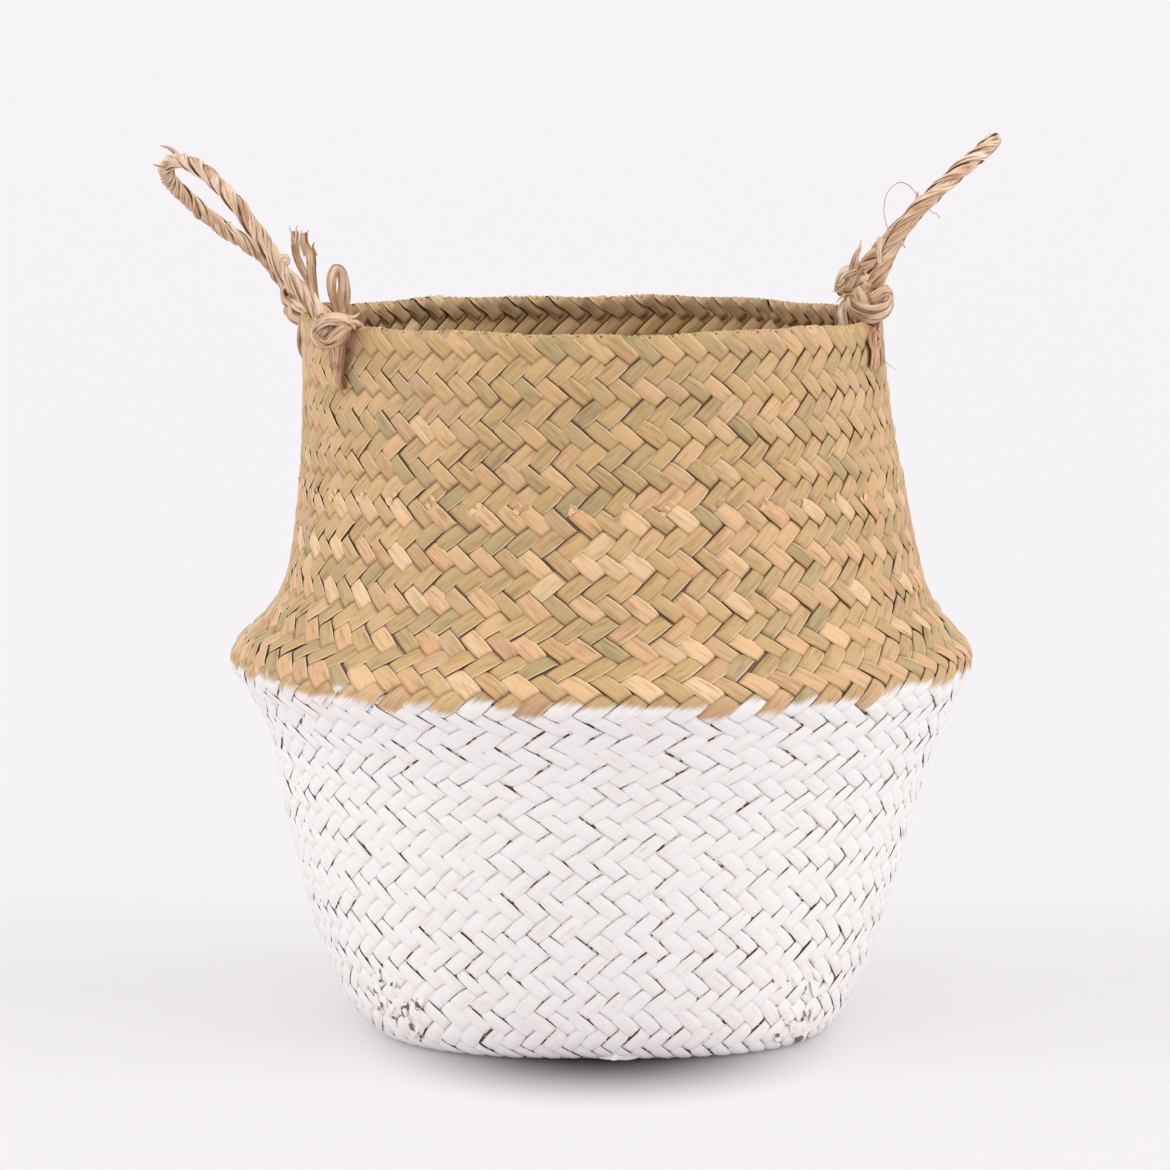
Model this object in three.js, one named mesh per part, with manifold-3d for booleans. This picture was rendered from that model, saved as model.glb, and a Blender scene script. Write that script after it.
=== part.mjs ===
// A round-bellied seagrass basket with a folded waist and two rope handles.
// Millimetres, +Z up. The origin is the middle of the base, on the surface it stands on,
// and -Y is the front. The body is one plaited sheet: it is split here where the base turns
// up, at the crease and at the foot of the neck, where the neck folds down into the belly.

import * as THREE from 'three';
import { mergeVertices } from 'three/addons/utils/BufferGeometryUtils.js';
import Module from 'manifold-3d';

// Driving dimensions
const bodyHeight = 303;
const bellyRadius = 160;
const creaseHeight = 160;
const neckFootHeight = 192;
const neckFootRadius = 137.3;
const rimRadius = 124.8;
const baseRadius = 97;
const footRadius = 118;
const footHeight = 29;
const wallThickness = 3;
const rimThickness = 4.2;
const rimDepth = 8.7;
const mouthLean = -4.4;
const ropeRadius = 4.1;
const knotRadius = 8.6;
const strandRadius = 2.1;
const seatGap = 0.3;

// Each handle is set out by its two knots: their angles from the basket's side, minus to
// the front, their distance from the neck's axis and their height, then how far the loop
// reaches from the knots, how steeply it stands, and how far it is out of plane at each
// station of the rope's route. Its lashings go through holes of their own.
const leftHandle = {
  side: -1,
  knotAngles: [-36, 19.4],
  knotDistance: 135.3,
  knotHeight: 304,
  holeAngles: [-34, 17.2],
  holeHeight: 278,
  reach: 88.5,
  tilt: 48.7,
  outOfPlane: [0, 2, 2, 4.8, 6.5, 3.2, -1.7, -5.2, -4.8, -1.8, 3, 2.4, 0],
  spurs: [[], []],
};
const rightHandle = {
  side: 1,
  knotAngles: [-18, 23.2],
  knotDistance: 123.5,
  knotHeight: 314.8,
  holeAngles: [-20.5, 23.2],
  holeHeight: 283.5,
  reach: 85.4,
  tilt: 47.3,
  outOfPlane: [0, -4.5, -8.5, -8.8, -5.8, -2.8, -1, 1, 0.5, 0, 0, 0.3, 0],
  spurs: [
    [[[0, 0, 0], [-1, -2, 6], [-1.5, -1, 8.2]]],
    [[[0, 0, 0], [1, 8, -7], [0, 18, -11.5]], [[0, 0, 0], [2, -4, -4], [3, -5.4, -5.4]]],
  ],
};

// Lashings: one band at each knot, through a hole in the wall and over the rim
const lashingHoleSize = new THREE.Vector2(7.6, 4.4);
const lashingThickness = 1.7;
const lashingWidthAtHole = 5;
const lashingWidthAtRim = 18;
const lashingGap = 0.55;
const lashingBend = 1.65;
const lashingTaper = 12;

// Facets
const wallSegments = 52;
const ropeSteps = 44;
const ropeSides = 12;

const wasm = await Module();
wasm.setup();

const up = new THREE.Vector3(0, 0, 1);

// Finishes
const seagrass = new THREE.MeshStandardMaterial({ color: 0xc8ae7c, roughness: 0.78, metalness: 0 });
const paintedSeagrass = new THREE.MeshStandardMaterial({ color: 0xefedea, roughness: 0.7, metalness: 0 });
const twistedRope = new THREE.MeshStandardMaterial({ color: 0xcaa579, roughness: 0.82, metalness: 0 });

// The neck leans a little to the left: its axis moves from x = 0 at its foot to mouthLean.
function leanAt(z) {
  return mouthLean * THREE.MathUtils.smoothstep(z, neckFootHeight, bodyHeight);
}

// The plaited base is a rounded square, and the wall turns round as it rises. The plan is a
// superellipse whose power falls from basePower at the floor to 2, a circle.
const basePower = 2.5;
const roundingHeight = 22;

function cornerFactor(angle, z) {
  const power = 2 + (basePower - 2) * Math.exp(-z / roundingHeight);
  const sum = Math.abs(Math.cos(angle)) ** power + Math.abs(Math.sin(angle)) ** power;
  return sum ** (-1 / power);
}

// A point of the body's surface from its angle, its distance from the axis and its height
function bodyPoint(angle, distance, z) {
  const reach = distance * cornerFactor(angle, z);
  return new THREE.Vector3(leanAt(z) + reach * Math.cos(angle), reach * Math.sin(angle), z);
}

// Revolves a closed outline of (distance, height) points into a ring of the body
function bodyRing(outline) {
  const geometry = new THREE.LatheGeometry([...outline, outline[0]], wallSegments);
  geometry.rotateX(Math.PI / 2);
  const position = geometry.attributes.position;
  for (let i = 0; i < position.count; i += 1) {
    const x = position.getX(i);
    const y = position.getY(i);
    const moved = bodyPoint(Math.atan2(y, x), Math.hypot(x, y), position.getZ(i));
    position.setXYZ(i, moved.x, moved.y, moved.z);
  }
  return weld(geometry);
}

// Keeps positions only and merges the vertices that share a place
function weld(geometry) {
  geometry.deleteAttribute('normal');
  geometry.deleteAttribute('uv');
  return mergeVertices(geometry, 1e-4);
}

// Gives an outer outline a wall: its points, then the same points moved inwards, backwards
function withThickness(outer, thickness) {
  const inner = outer.map((point, i) => {
    const before = outer[Math.max(i - 1, 0)];
    const after = outer[Math.min(i + 1, outer.length - 1)];
    const along = after.clone().sub(before).normalize();
    return new THREE.Vector2(point.x - along.y * thickness, point.y + along.x * thickness);
  });
  inner[0].y = outer[0].y;
  inner[inner.length - 1].y = outer[outer.length - 1].y;
  return [...outer, ...inner.reverse()];
}

function outlineThrough(points, divisions) {
  return new THREE.SplineCurve(points.map(([r, z]) => new THREE.Vector2(r, z))).getPoints(divisions);
}

// Manifold-3d solids to and from BufferGeometry
function toSolid(geometry) {
  const mesh = new wasm.Mesh({
    numProp: 3,
    vertProperties: new Float32Array(geometry.attributes.position.array),
    triVerts: new Uint32Array(geometry.index.array),
  });
  return new wasm.Manifold(mesh);
}

function toGeometry(solid) {
  const mesh = solid.getMesh();
  const geometry = new THREE.BufferGeometry();
  geometry.setAttribute('position', new THREE.BufferAttribute(mesh.vertProperties, 3));
  geometry.setIndex(new THREE.BufferAttribute(mesh.triVerts, 1));
  return geometry;
}

// Skins a row of rings, each a list of points that run counter-clockwise seen from ahead.
// A loop joins its last ring to its first, and an open row is closed by a fan at each end.
function skin(rings, isLoop) {
  const sides = rings[0].length;
  const positions = rings.flat().flatMap((point) => point.toArray());
  const index = [];
  const spans = isLoop ? rings.length : rings.length - 1;
  for (let ring = 0; ring < spans; ring += 1) {
    const next = (ring + 1) % rings.length;
    for (let side = 0; side < sides; side += 1) {
      const a = ring * sides + side;
      const b = ring * sides + ((side + 1) % sides);
      const c = next * sides + ((side + 1) % sides);
      const d = next * sides + side;
      index.push(a, b, c, a, c, d);
    }
  }
  if (!isLoop) {
    for (const [ring, isStart] of [[0, true], [rings.length - 1, false]]) {
      const middle = rings[ring].reduce((sum, point) => sum.add(point), new THREE.Vector3());
      const centre = positions.length / 3;
      positions.push(...middle.divideScalar(sides).toArray());
      for (let side = 0; side < sides; side += 1) {
        const a = ring * sides + side;
        const b = ring * sides + ((side + 1) % sides);
        index.push(...(isStart ? [centre, b, a] : [centre, a, b]));
      }
    }
  }
  const geometry = new THREE.BufferGeometry();
  geometry.setAttribute('position', new THREE.Float32BufferAttribute(positions, 3));
  geometry.setIndex(index);
  return geometry;
}

// A ring of an oval section at a point of a path, with its half width along side
function ovalRing(point, tangent, side, halfWidth, halfThickness, sides) {
  const across = side.clone().addScaledVector(tangent, -side.dot(tangent)).normalize();
  const over = new THREE.Vector3().crossVectors(tangent, across);
  return Array.from({ length: sides }, (_, i) => {
    const turn = (i / sides) * 2 * Math.PI;
    return point
      .clone()
      .addScaledVector(across, halfWidth * Math.cos(turn))
      .addScaledVector(over, halfThickness * Math.sin(turn));
  });
}

// A flat strand of grass along hand-set points, with its half width at each end
function strand(points, side, halfWidths, halfThickness, steps) {
  const path = new THREE.CatmullRomCurve3(points);
  const rings = Array.from({ length: steps + 1 }, (_, i) => {
    const along = i / steps;
    const halfWidth = THREE.MathUtils.lerp(halfWidths[0], halfWidths[1], along);
    return ovalRing(path.getPoint(along), path.getTangent(along), side, halfWidth, halfThickness, 6);
  });
  return skin(rings, false);
}

// The body's rings
const footOutline = outlineThrough([
  [baseRadius, 0],
  [102.5, 3.5],
  [108, 9.5],
  [113, 18],
  [footRadius - 0.1, footHeight - seatGap],
], 4);

const lowerOutline = outlineThrough([
  [footRadius, footHeight],
  [123.2, 43],
  [128.8, 61],
  [137.8, 98],
  [147, 129],
  [156.6, 148],
  [bellyRadius, 156],
  [159.4, creaseHeight],
], 9);

const shoulderOutline = outlineThrough([
  [159.3, creaseHeight + seatGap],
  [153.5, 167.5],
  [146.5, 175],
  [141, 183],
  [neckFootRadius + 0.1, neckFootHeight - seatGap],
], 4);

const wallTop = bodyHeight - rimDepth;
const neckOutline = outlineThrough([
  [neckFootRadius, neckFootHeight],
  [134.2, 206],
  [131.2, 225],
  [127.8, 248],
  [125.8, 272],
  [rimRadius, wallTop - seatGap],
], 7);

// The base lies inside the foot, and its edge leans outwards as the foot's inside does
function makeBase() {
  const inside = withThickness(footOutline, wallThickness + seatGap).slice(footOutline.length);
  const low = inside[inside.length - 1];
  const high = inside[inside.length - 2];
  const lean = (high.x - low.x) / high.y;
  return bodyRing([
    new THREE.Vector2(0, 0),
    new THREE.Vector2(low.x, 0),
    new THREE.Vector2(low.x + lean * wallThickness, wallThickness),
    new THREE.Vector2(0, wallThickness),
  ]);
}

// The rim: the strips' ends turned over and plaited back, so thicker than the wall
function makeRim() {
  const half = rimThickness / 2;
  const outline = new THREE.Shape();
  outline.moveTo(rimRadius - rimThickness, wallTop);
  outline.lineTo(rimRadius, wallTop);
  outline.lineTo(rimRadius, bodyHeight - half);
  outline.absarc(rimRadius - half, bodyHeight - half, half, 0, Math.PI, false);
  return bodyRing(outline.getPoints(4).slice(0, -1));
}

// An angle given from the basket's side, as one round its axis
function angleFromSide(handle, degrees) {
  const fromSide = THREE.MathUtils.degToRad(degrees);
  return handle.side > 0 ? fromSide : Math.PI - fromSide;
}

// The neck's outside radius at a height, between the outline's points
function neckRadiusAt(z) {
  const i = neckOutline.findIndex((point) => point.y > z);
  const [low, high] = [neckOutline[i - 1], neckOutline[i]];
  return THREE.MathUtils.mapLinear(z, low.y, high.y, low.x, high.x);
}

function makeUpperWall() {
  let wall = toSolid(bodyRing(withThickness(neckOutline, wallThickness)));
  for (const handle of [leftHandle, rightHandle]) {
    for (const end of [0, 1]) {
      const angle = angleFromSide(handle, handle.holeAngles[end]);
      const hole = new THREE.BoxGeometry(4 * wallThickness, lashingHoleSize.x, lashingHoleSize.y);
      hole.rotateZ(angle);
      hole.translate(...bodyPoint(angle, rimRadius, handle.holeHeight).toArray());
      wall = wall.subtract(toSolid(weld(hole)));
    }
  }
  return toGeometry(wall);
}

// A lashing is a flat band that goes in by its hole, up the inside, over the rim and down
// the outside, spreading as it rises so that it holds the knot from both sides.
function makeLashing(handle, end, tail) {
  const angle = angleFromSide(handle, handle.holeAngles[end]);
  const clear = lashingGap + lashingThickness / 2;
  const outside = rimRadius + clear;
  const inside = rimRadius - rimThickness - clear;
  const rimTop = bodyHeight - rimThickness / 2;
  const hole = handle.holeHeight;
  const outsideAtHole = neckRadiusAt(hole) + clear;
  const insideAtHole = neckRadiusAt(hole) - wallThickness - clear;
  const section = new THREE.Path();
  section.moveTo(outsideAtHole - lashingBend, hole);
  section.quadraticCurveTo(outsideAtHole, hole, outsideAtHole, hole + lashingBend);
  section.lineTo(outside, hole + lashingTaper);
  section.lineTo(outside, rimTop);
  section.absarc(rimRadius - rimThickness / 2, rimTop, (outside - inside) / 2, 0, Math.PI, false);
  section.lineTo(inside, hole + lashingTaper);
  section.lineTo(insideAtHole, hole + lashingBend);
  section.quadraticCurveTo(insideAtHole, hole, insideAtHole + lashingBend, hole);
  const route = section.getPoints(6);
  const sideways = new THREE.Vector3(-Math.sin(angle), Math.cos(angle), 0);
  const places = route.map((point) => bodyPoint(angle, point.x, point.y));
  const rings = places.map((place, i) => {
    const before = places[(i + places.length - 1) % places.length];
    const after = places[(i + 1) % places.length];
    const tangent = after.clone().sub(before).normalize();
    const spread = THREE.MathUtils.smoothstep(place.z, hole, bodyHeight);
    const width = THREE.MathUtils.lerp(lashingWidthAtHole, lashingWidthAtRim, spread);
    return bandRing(place, tangent, sideways, width / 2, lashingThickness / 2);
  });
  const band = skin(rings, true);
  return tail ? toGeometry(toSolid(band).add(toSolid(strandTail(tail, handle, end)))) : band;
}

// A strand's end that stands on the lashing beside the knot: its outline is a list of
// (sideways, upwards) places in the plane that faces the front.
function strandTail(tail, handle, end) {
  const angle = angleFromSide(handle, handle.knotAngles[end]) + tail.aside / rimRadius;
  const foot = bodyPoint(angle, rimRadius - rimThickness / 2, bodyHeight + lashingGap);
  const places = tail.outline.map(([x, z]) => (
    new THREE.Vector3(foot.x + x - tail.lean * z, foot.y, foot.z + z)
  ));
  return strand(places, new THREE.Vector3(0, 1, 0), [1.6, 1.6], 1.1, 18);
}

// A ring of a flat band's section: a rectangle with its narrow edges drawn to a blunt point
function bandRing(point, tangent, side, halfWidth, halfThickness) {
  const over = new THREE.Vector3().crossVectors(tangent, side);
  const edge = halfWidth - halfThickness;
  const corners = [[halfWidth, 0], [edge, 1], [-edge, 1], [-halfWidth, 0], [-edge, -1], [edge, -1]];
  return corners.map(([a, b]) => (
    point.clone().addScaledVector(side, a).addScaledVector(over, b * halfThickness)
  ));
}

// The left front lashing ends in a bow, and the left rear one in two ends with an eyelet.
// aside moves the foot round the rim from the knot, and lean tips the strand outwards.
const bow = {
  aside: -8,
  lean: 0.1,
  outline: [
    [-1.5, 0.4], [-2.2, 5], [-3.9, 13], [-3.9, 20], [-1.2, 23.5], [2, 22.5], [3.6, 17], [2.6, 9],
    [1.5, 0.4],
  ],
};
const eyelet = {
  aside: 12,
  lean: 0.24,
  outline: [
    [-1.9, 27], [-2.8, 20], [-2.6, 12], [-1.7, 4.5], [0, 1.4], [1.7, 4.5], [2.6, 12], [2.8, 20],
    [2.2, 28],
  ],
};

// The handle's own frame: x along the line through its knots, front to rear, y from the
// knots out along the loop, z square to both, with the origin midway between the knots
function handleFrame(handle) {
  const [front, rear] = [0, 1].map((end) => {
    const angle = angleFromSide(handle, handle.knotAngles[end]);
    const x = mouthLean + handle.knotDistance * Math.cos(angle);
    return new THREE.Vector3(x, handle.knotDistance * Math.sin(angle), handle.knotHeight);
  });
  const along = rear.clone().sub(front).normalize();
  const outward = new THREE.Vector3(along.y, -along.x, 0).multiplyScalar(handle.side);
  const tilt = THREE.MathUtils.degToRad(handle.tilt);
  const reachWay = outward.multiplyScalar(Math.cos(tilt)).addScaledVector(up, Math.sin(tilt));
  const square = new THREE.Vector3().crossVectors(along, reachWay);
  return {
    origin: front.clone().add(rear).divideScalar(2),
    halfSpan: front.distanceTo(rear) / 2,
    basis: new THREE.Matrix4().makeBasis(along, reachWay, square),
  };
}

// The stations of the rope's route, as shares of half the span and of the reach
const ropeStations = [
  [-1, 0.02], [-1, 0.15], [-0.98, 0.32], [-0.9, 0.54], [-0.7, 0.77], [-0.37, 0.94], [0, 1],
  [0.37, 0.94], [0.7, 0.77], [0.9, 0.54], [0.98, 0.32], [1, 0.15], [1, 0.02],
];

function ropePath(handle) {
  const { halfSpan } = handleFrame(handle);
  return new THREE.CatmullRomCurve3(ropeStations.map(([x, y], i) => (
    new THREE.Vector3(x * halfSpan, y * handle.reach, handle.outOfPlane[i])
  )));
}

// The rope: three strands laid together, so its section has three lobes that turn with it
const layPitch = 31;
const lobeDepth = 0.12;

function makeRope(handle, radius) {
  const path = ropePath(handle);
  const turns = path.getLength() / layPitch;
  const frames = path.computeFrenetFrames(ropeSteps, false);
  const rings = path.getSpacedPoints(ropeSteps).map((point, step) => {
    const lay = (step / ropeSteps) * turns * 2 * Math.PI;
    return Array.from({ length: ropeSides }, (_, i) => {
      const turn = (i / ropeSides) * 2 * Math.PI;
      const reach = radius * (1 - lobeDepth + lobeDepth * Math.cos(3 * (turn - lay)));
      return point
        .clone()
        .addScaledVector(frames.normals[step], reach * Math.cos(turn))
        .addScaledVector(frames.binormals[step], reach * Math.sin(turn));
    });
  });
  return skin(rings, false);
}

// An overhand knot: a strand that goes twice round the rope and three times through itself,
// which is a trefoil. It is drawn in three lengths that are joined with the packed core.
const trefoilRing = knotRadius - 2 * strandRadius;

function trefoilPoint(t) {
  const distance = trefoilRing + strandRadius * Math.cos(3 * t);
  const height = 1.45 * strandRadius * Math.sin(3 * t);
  return new THREE.Vector3(distance * Math.cos(2 * t), height, distance * Math.sin(2 * t));
}

function makeKnot(handle, end) {
  const steps = 9;
  const sides = 6;
  const length = (2 * Math.PI) / 3;
  let solid = null;
  for (let part = 0; part < 3; part += 1) {
    const rings = Array.from({ length: steps + 1 }, (_, i) => {
      const t = part * length + (i / steps) * (length + 0.12);
      const tangent = trefoilPoint(t + 0.01).sub(trefoilPoint(t - 0.01)).normalize();
      const outward = trefoilPoint(t).setY(0).normalize();
      return ovalRing(trefoilPoint(t), tangent, outward, strandRadius, strandRadius, sides);
    });
    const piece = toSolid(skin(rings, false));
    solid = solid ? solid.add(piece) : piece;
  }
  const core = new THREE.SphereGeometry(0.72 * knotRadius, 10, 7);
  solid = solid.add(toSolid(weld(core)));
  for (const spur of handle.spurs[end]) {
    const points = spur.map(([x, y, z]) => new THREE.Vector3(x, y, z));
    const sideways = new THREE.Vector3(1, 0, 0);
    solid = solid.add(toSolid(strand(points, sideways, [2.2, 0.9], 0.8, 6)));
  }
  const { halfSpan } = handleFrame(handle);
  const x = end === 0 ? -halfSpan : halfSpan;
  const placed = toGeometry(solid).translate(x, 0, 0);
  return toGeometry(toSolid(placed).subtract(toSolid(makeRope(handle, ropeRadius + seatGap))));
}

// The assembly
function mesh(name, geometry, material) {
  const piece = new THREE.Mesh(geometry, material);
  piece.name = name;
  return piece;
}

function makeHandle(handle, side) {
  const group = new THREE.Group();
  const frame = handleFrame(handle);
  group.position.copy(frame.origin);
  group.setRotationFromMatrix(frame.basis);
  group.add(mesh(`${side}_rope`, makeRope(handle, ropeRadius), twistedRope));
  group.add(mesh(`${side}_front_knot`, makeKnot(handle, 0), twistedRope));
  group.add(mesh(`${side}_rear_knot`, makeKnot(handle, 1), twistedRope));
  return group;
}

const basket = new THREE.Group();
const lowerBasket = new THREE.Group();
lowerBasket.add(mesh('base', makeBase(), paintedSeagrass));
lowerBasket.add(mesh('foot', bodyRing(withThickness(footOutline, wallThickness)), paintedSeagrass));
lowerBasket.add(mesh('lower_wall', bodyRing(withThickness(lowerOutline, wallThickness)), paintedSeagrass));
lowerBasket.add(mesh('shoulder', bodyRing(withThickness(shoulderOutline, wallThickness)), seagrass));

const neck = new THREE.Group();
neck.add(mesh('upper_wall', makeUpperWall(), seagrass));
neck.add(mesh('rim', makeRim(), seagrass));
neck.add(mesh('left_front_lashing', makeLashing(leftHandle, 0, bow), twistedRope));
neck.add(mesh('left_rear_lashing', makeLashing(leftHandle, 1, eyelet), twistedRope));
neck.add(mesh('right_front_lashing', makeLashing(rightHandle, 0), twistedRope));
neck.add(mesh('right_rear_lashing', makeLashing(rightHandle, 1), twistedRope));

basket.add(lowerBasket, neck, makeHandle(leftHandle, 'left'), makeHandle(rightHandle, 'right'));

export default basket;
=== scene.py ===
import math

import bpy
import numpy as np
from mathutils import Euler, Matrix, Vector


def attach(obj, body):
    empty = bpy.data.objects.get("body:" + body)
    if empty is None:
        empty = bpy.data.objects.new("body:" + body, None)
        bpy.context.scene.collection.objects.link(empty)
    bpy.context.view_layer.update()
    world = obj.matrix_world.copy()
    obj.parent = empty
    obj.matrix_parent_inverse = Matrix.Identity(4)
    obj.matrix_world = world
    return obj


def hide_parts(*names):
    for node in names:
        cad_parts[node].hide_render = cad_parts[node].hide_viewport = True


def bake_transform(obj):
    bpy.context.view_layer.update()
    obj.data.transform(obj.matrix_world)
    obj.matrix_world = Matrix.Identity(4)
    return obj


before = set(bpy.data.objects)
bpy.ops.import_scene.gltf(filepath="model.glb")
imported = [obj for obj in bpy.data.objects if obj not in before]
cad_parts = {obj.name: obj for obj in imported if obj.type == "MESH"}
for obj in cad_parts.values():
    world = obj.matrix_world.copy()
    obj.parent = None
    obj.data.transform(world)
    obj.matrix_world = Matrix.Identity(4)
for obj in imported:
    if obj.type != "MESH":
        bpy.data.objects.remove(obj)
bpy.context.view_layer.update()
print("frame loaded, nodes:", len(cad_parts))

# Lengths are in millimetres up to the meshes, which are in metres.


def smooth(x, low, high):  # 0 below low, 1 above high, an S between them
    t = np.clip((np.asarray(x, float) - low) / (high - low), 0, 1)
    return t * t * (3 - 2 * t)


def linear(code):  # "c8b280" in sRGB to linear red, green, blue and 1
    parts = [int(code[i:i + 2], 16) / 255 for i in (0, 2, 4)]
    return [c / 12.92 if c <= 0.04045 else ((c + 0.055) / 1.055) ** 2.4 for c in parts] + [1.0]


def addNode(tree, kind, settings=(), inputs=(), stops=()):
    # one node with its settings, its inputs as values or links, and a colour ramp's stops
    node = tree.nodes.new(kind)
    for name, value in dict(settings).items():
        setattr(node, name, value)
    for name, value in dict(inputs).items():
        if isinstance(value, bpy.types.NodeSocket):
            tree.links.new(value, node.inputs[name])
        else:
            node.inputs[name].default_value = value
    for place, _ in stops[2:]:
        node.color_ramp.elements.new(place)
    for index, (place, code) in enumerate(stops):
        node.color_ramp.elements[index].position = place
        node.color_ramp.elements[index].color = linear(code)
    return node


def emptyMaterial(name):
    material = bpy.data.materials.new(name)
    material.use_nodes = True
    material.node_tree.nodes.clear()
    return material, material.node_tree


def curveThrough(points, count):
    # Catmull-Rom: between two points the cubic whose slope at each is half the way from the
    # point before to the point after; count points, equally far apart along it
    p = np.asarray(points, float)
    p = np.vstack([2 * p[0] - p[1], p, 2 * p[-1] - p[-2]])
    t = np.linspace(0, 1, 24, endpoint=False)[None, :, None]
    a, b, c, d = (p[i:len(p) - 3 + i, None, :] for i in range(4))
    dense = 0.5 * (2 * b + (c - a) * t + (2 * a - 5 * b + 4 * c - d) * t ** 2
                   + (3 * b - a - 3 * c + d) * t ** 3)
    dense = np.vstack([dense.reshape(-1, p.shape[1]), p[-2]])
    way = np.concatenate([[0], np.cumsum(np.linalg.norm(np.diff(dense, axis=0), axis=1))])
    places = np.linspace(0, way[-1], count)
    return np.stack([np.interp(places, way, dense[:, i]) for i in range(p.shape[1])], axis=1)


def tubeMesh(name, rings, material, values, sharp=55):
    # rings is (tubes, steps, sides, 3) in mm: each tube joins ring to ring and is closed by a
    # face at both ends. values holds three numbers for each vertex, by attribute name.
    tubes, steps, sides = rings.shape[:3]
    base = np.arange(tubes * steps * sides).reshape(tubes, steps, sides)
    turned = np.roll(base, -1, axis=2)
    quads = np.stack([base[:, :-1], turned[:, :-1], turned[:, 1:], base[:, 1:]], axis=-1).reshape(-1, 4)
    starts = base[:, 0, ::-1].reshape(-1, sides)
    ends = base[:, -1].reshape(-1, sides)
    corners = np.concatenate([quads.ravel(), starts.ravel(), ends.ravel()]).astype(np.int32)
    totals = np.concatenate([np.full(len(quads), 4), np.full(2 * tubes, sides)]).astype(np.int32)
    mesh = bpy.data.meshes.new(name)
    mesh.vertices.add(base.size)
    mesh.vertices.foreach_set("co", (rings.reshape(-1) / 1000).astype(np.float32))
    mesh.loops.add(len(corners))
    mesh.loops.foreach_set("vertex_index", corners)
    mesh.polygons.add(len(totals))
    mesh.polygons.foreach_set("loop_start", (np.cumsum(totals) - totals).astype(np.int32))
    mesh.polygons.foreach_set("loop_total", totals)
    # Bake map: each tube is one lane, its steps along it and its sides across it
    along = np.linspace(0.01, 0.99, steps)[None, :, None, None]
    across = np.stack([np.arange(sides), np.arange(sides) + 1], axis=-1)[None, None]
    lane = np.arange(tubes)[:, None, None, None]
    v = (lane + 0.06 + 0.88 * across / sides) / tubes
    v = np.broadcast_to(v, (tubes, steps, sides, 2))
    u = np.broadcast_to(along, (tubes, steps, sides, 1))[..., 0]
    quadUv = np.stack([
        np.stack([u[:, :-1], v[:, :-1, :, 0]], -1), np.stack([u[:, :-1], v[:, :-1, :, 1]], -1),
        np.stack([u[:, 1:], v[:, 1:, :, 1]], -1), np.stack([u[:, 1:], v[:, 1:, :, 0]], -1),
    ], axis=-2).reshape(-1, 2)
    turn = np.linspace(0, 2 * math.pi, sides, endpoint=False)
    spot = np.stack([0.004 * np.cos(turn), 0.3 / tubes * np.sin(turn)], -1)
    middle = (np.arange(tubes)[:, None] + 0.5) / tubes
    startUv = np.stack([0.005 + spot[None, :, 0] + 0 * middle, middle + spot[None, :, 1]], -1)
    endUv = np.stack([0.995 + spot[None, :, 0] + 0 * middle, middle + spot[None, :, 1]], -1)
    layer = mesh.uv_layers.new(name="OFBake")
    uv = np.concatenate([quadUv, startUv.reshape(-1, 2), endUv.reshape(-1, 2)])
    layer.uv.foreach_set("vector", uv.astype(np.float32).ravel())
    for key, value in values.items():
        attribute = mesh.attributes.new(key, "FLOAT_VECTOR", "POINT")
        attribute.data.foreach_set("vector", np.broadcast_to(value, rings.shape).astype(np.float32).ravel())
    mesh.update()
    mesh.validate()
    mesh.polygons.foreach_set("use_smooth", np.ones(len(mesh.polygons), bool))
    mesh.set_sharp_from_angle(angle=math.radians(sharp))
    mesh.materials.append(material)
    piece = bpy.data.objects.new(name, mesh)
    bpy.context.collection.objects.link(piece)
    return piece


# Camera

cameraSetup = {
    "place": (-7.06, -2163.0, 450.5),
    "pitch": 6.95,  # degrees down
    "lens": 155.5,
}


def makeCamera():
    data = bpy.data.cameras.new("camera")
    data.lens = cameraSetup["lens"]
    data.clip_end = 300
    camera = bpy.data.objects.new("camera", data)
    camera.location = Vector(cameraSetup["place"]) / 1000
    camera.rotation_euler = Euler((math.radians(90 - cameraSetup["pitch"]), 0, 0))
    bpy.context.collection.objects.link(camera)
    bpy.context.scene.camera = camera


# The body's surface

body = {
    "outline": [  # outside of the plait: distance from the axis and height
        (84, 0), (91, 0), (97, 0.3), (102.5, 3.5), (108, 9.5), (113, 18), (118, 29), (123.2, 43),
        (128.8, 61), (133.6, 80), (137.8, 98), (142, 115), (147, 129), (153.3, 143), (157.6, 150),
        (160, 156), (158.8, 161.5), (153.5, 167.5), (146.5, 175), (141, 183), (137.3, 192),
        (134.2, 206), (131.2, 225), (127.8, 248), (125.6, 272), (124.9, 290), (124.8, 302.3),
    ],
    "sway": [  # height, and how far the hand-made body stands to the right there
        (0, 0), (12, -1.2), (25, -1.6), (45, -1.2), (75, -0.8), (100, 0), (125, 2.2), (140, 1.8),
        (156, 0), (175, 0.8), (195, 1.6), (230, 0.2), (265, -2.2), (303, -4.4),
    ],
    "steepness": [  # height, and the rise of a blade for its run round the wall
        (0, 1.3), (12, 1.15), (25, 1.0), (45, 0.93), (70, 0.9), (85, 0.84), (98, 0.77), (112, 0.72),
        (128, 0.68), (146, 0.68), (160, 0.75), (175, 0.82), (215, 0.85), (250, 0.885), (303, 0.9),
    ],
    "middle": 1.25,  # depth of the sheet's middle under its outside
    "blades": 80,  # each way round
    "rowLine": 293.5,  # height of the line under the turned rim, where a row ends
    "rimRoll": 1.1,  # radius of the turn over the rim
    "turnedDown": 9,  # how far the sheet comes down inside it
    "basePower": 2.8,  # the superellipse's power at the floor, where the plan is a rounded square
    "rounding": 22,  # height over which the plan gets round
    "deeper": 0.03,  # the foot's share of more depth than width
}


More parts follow.
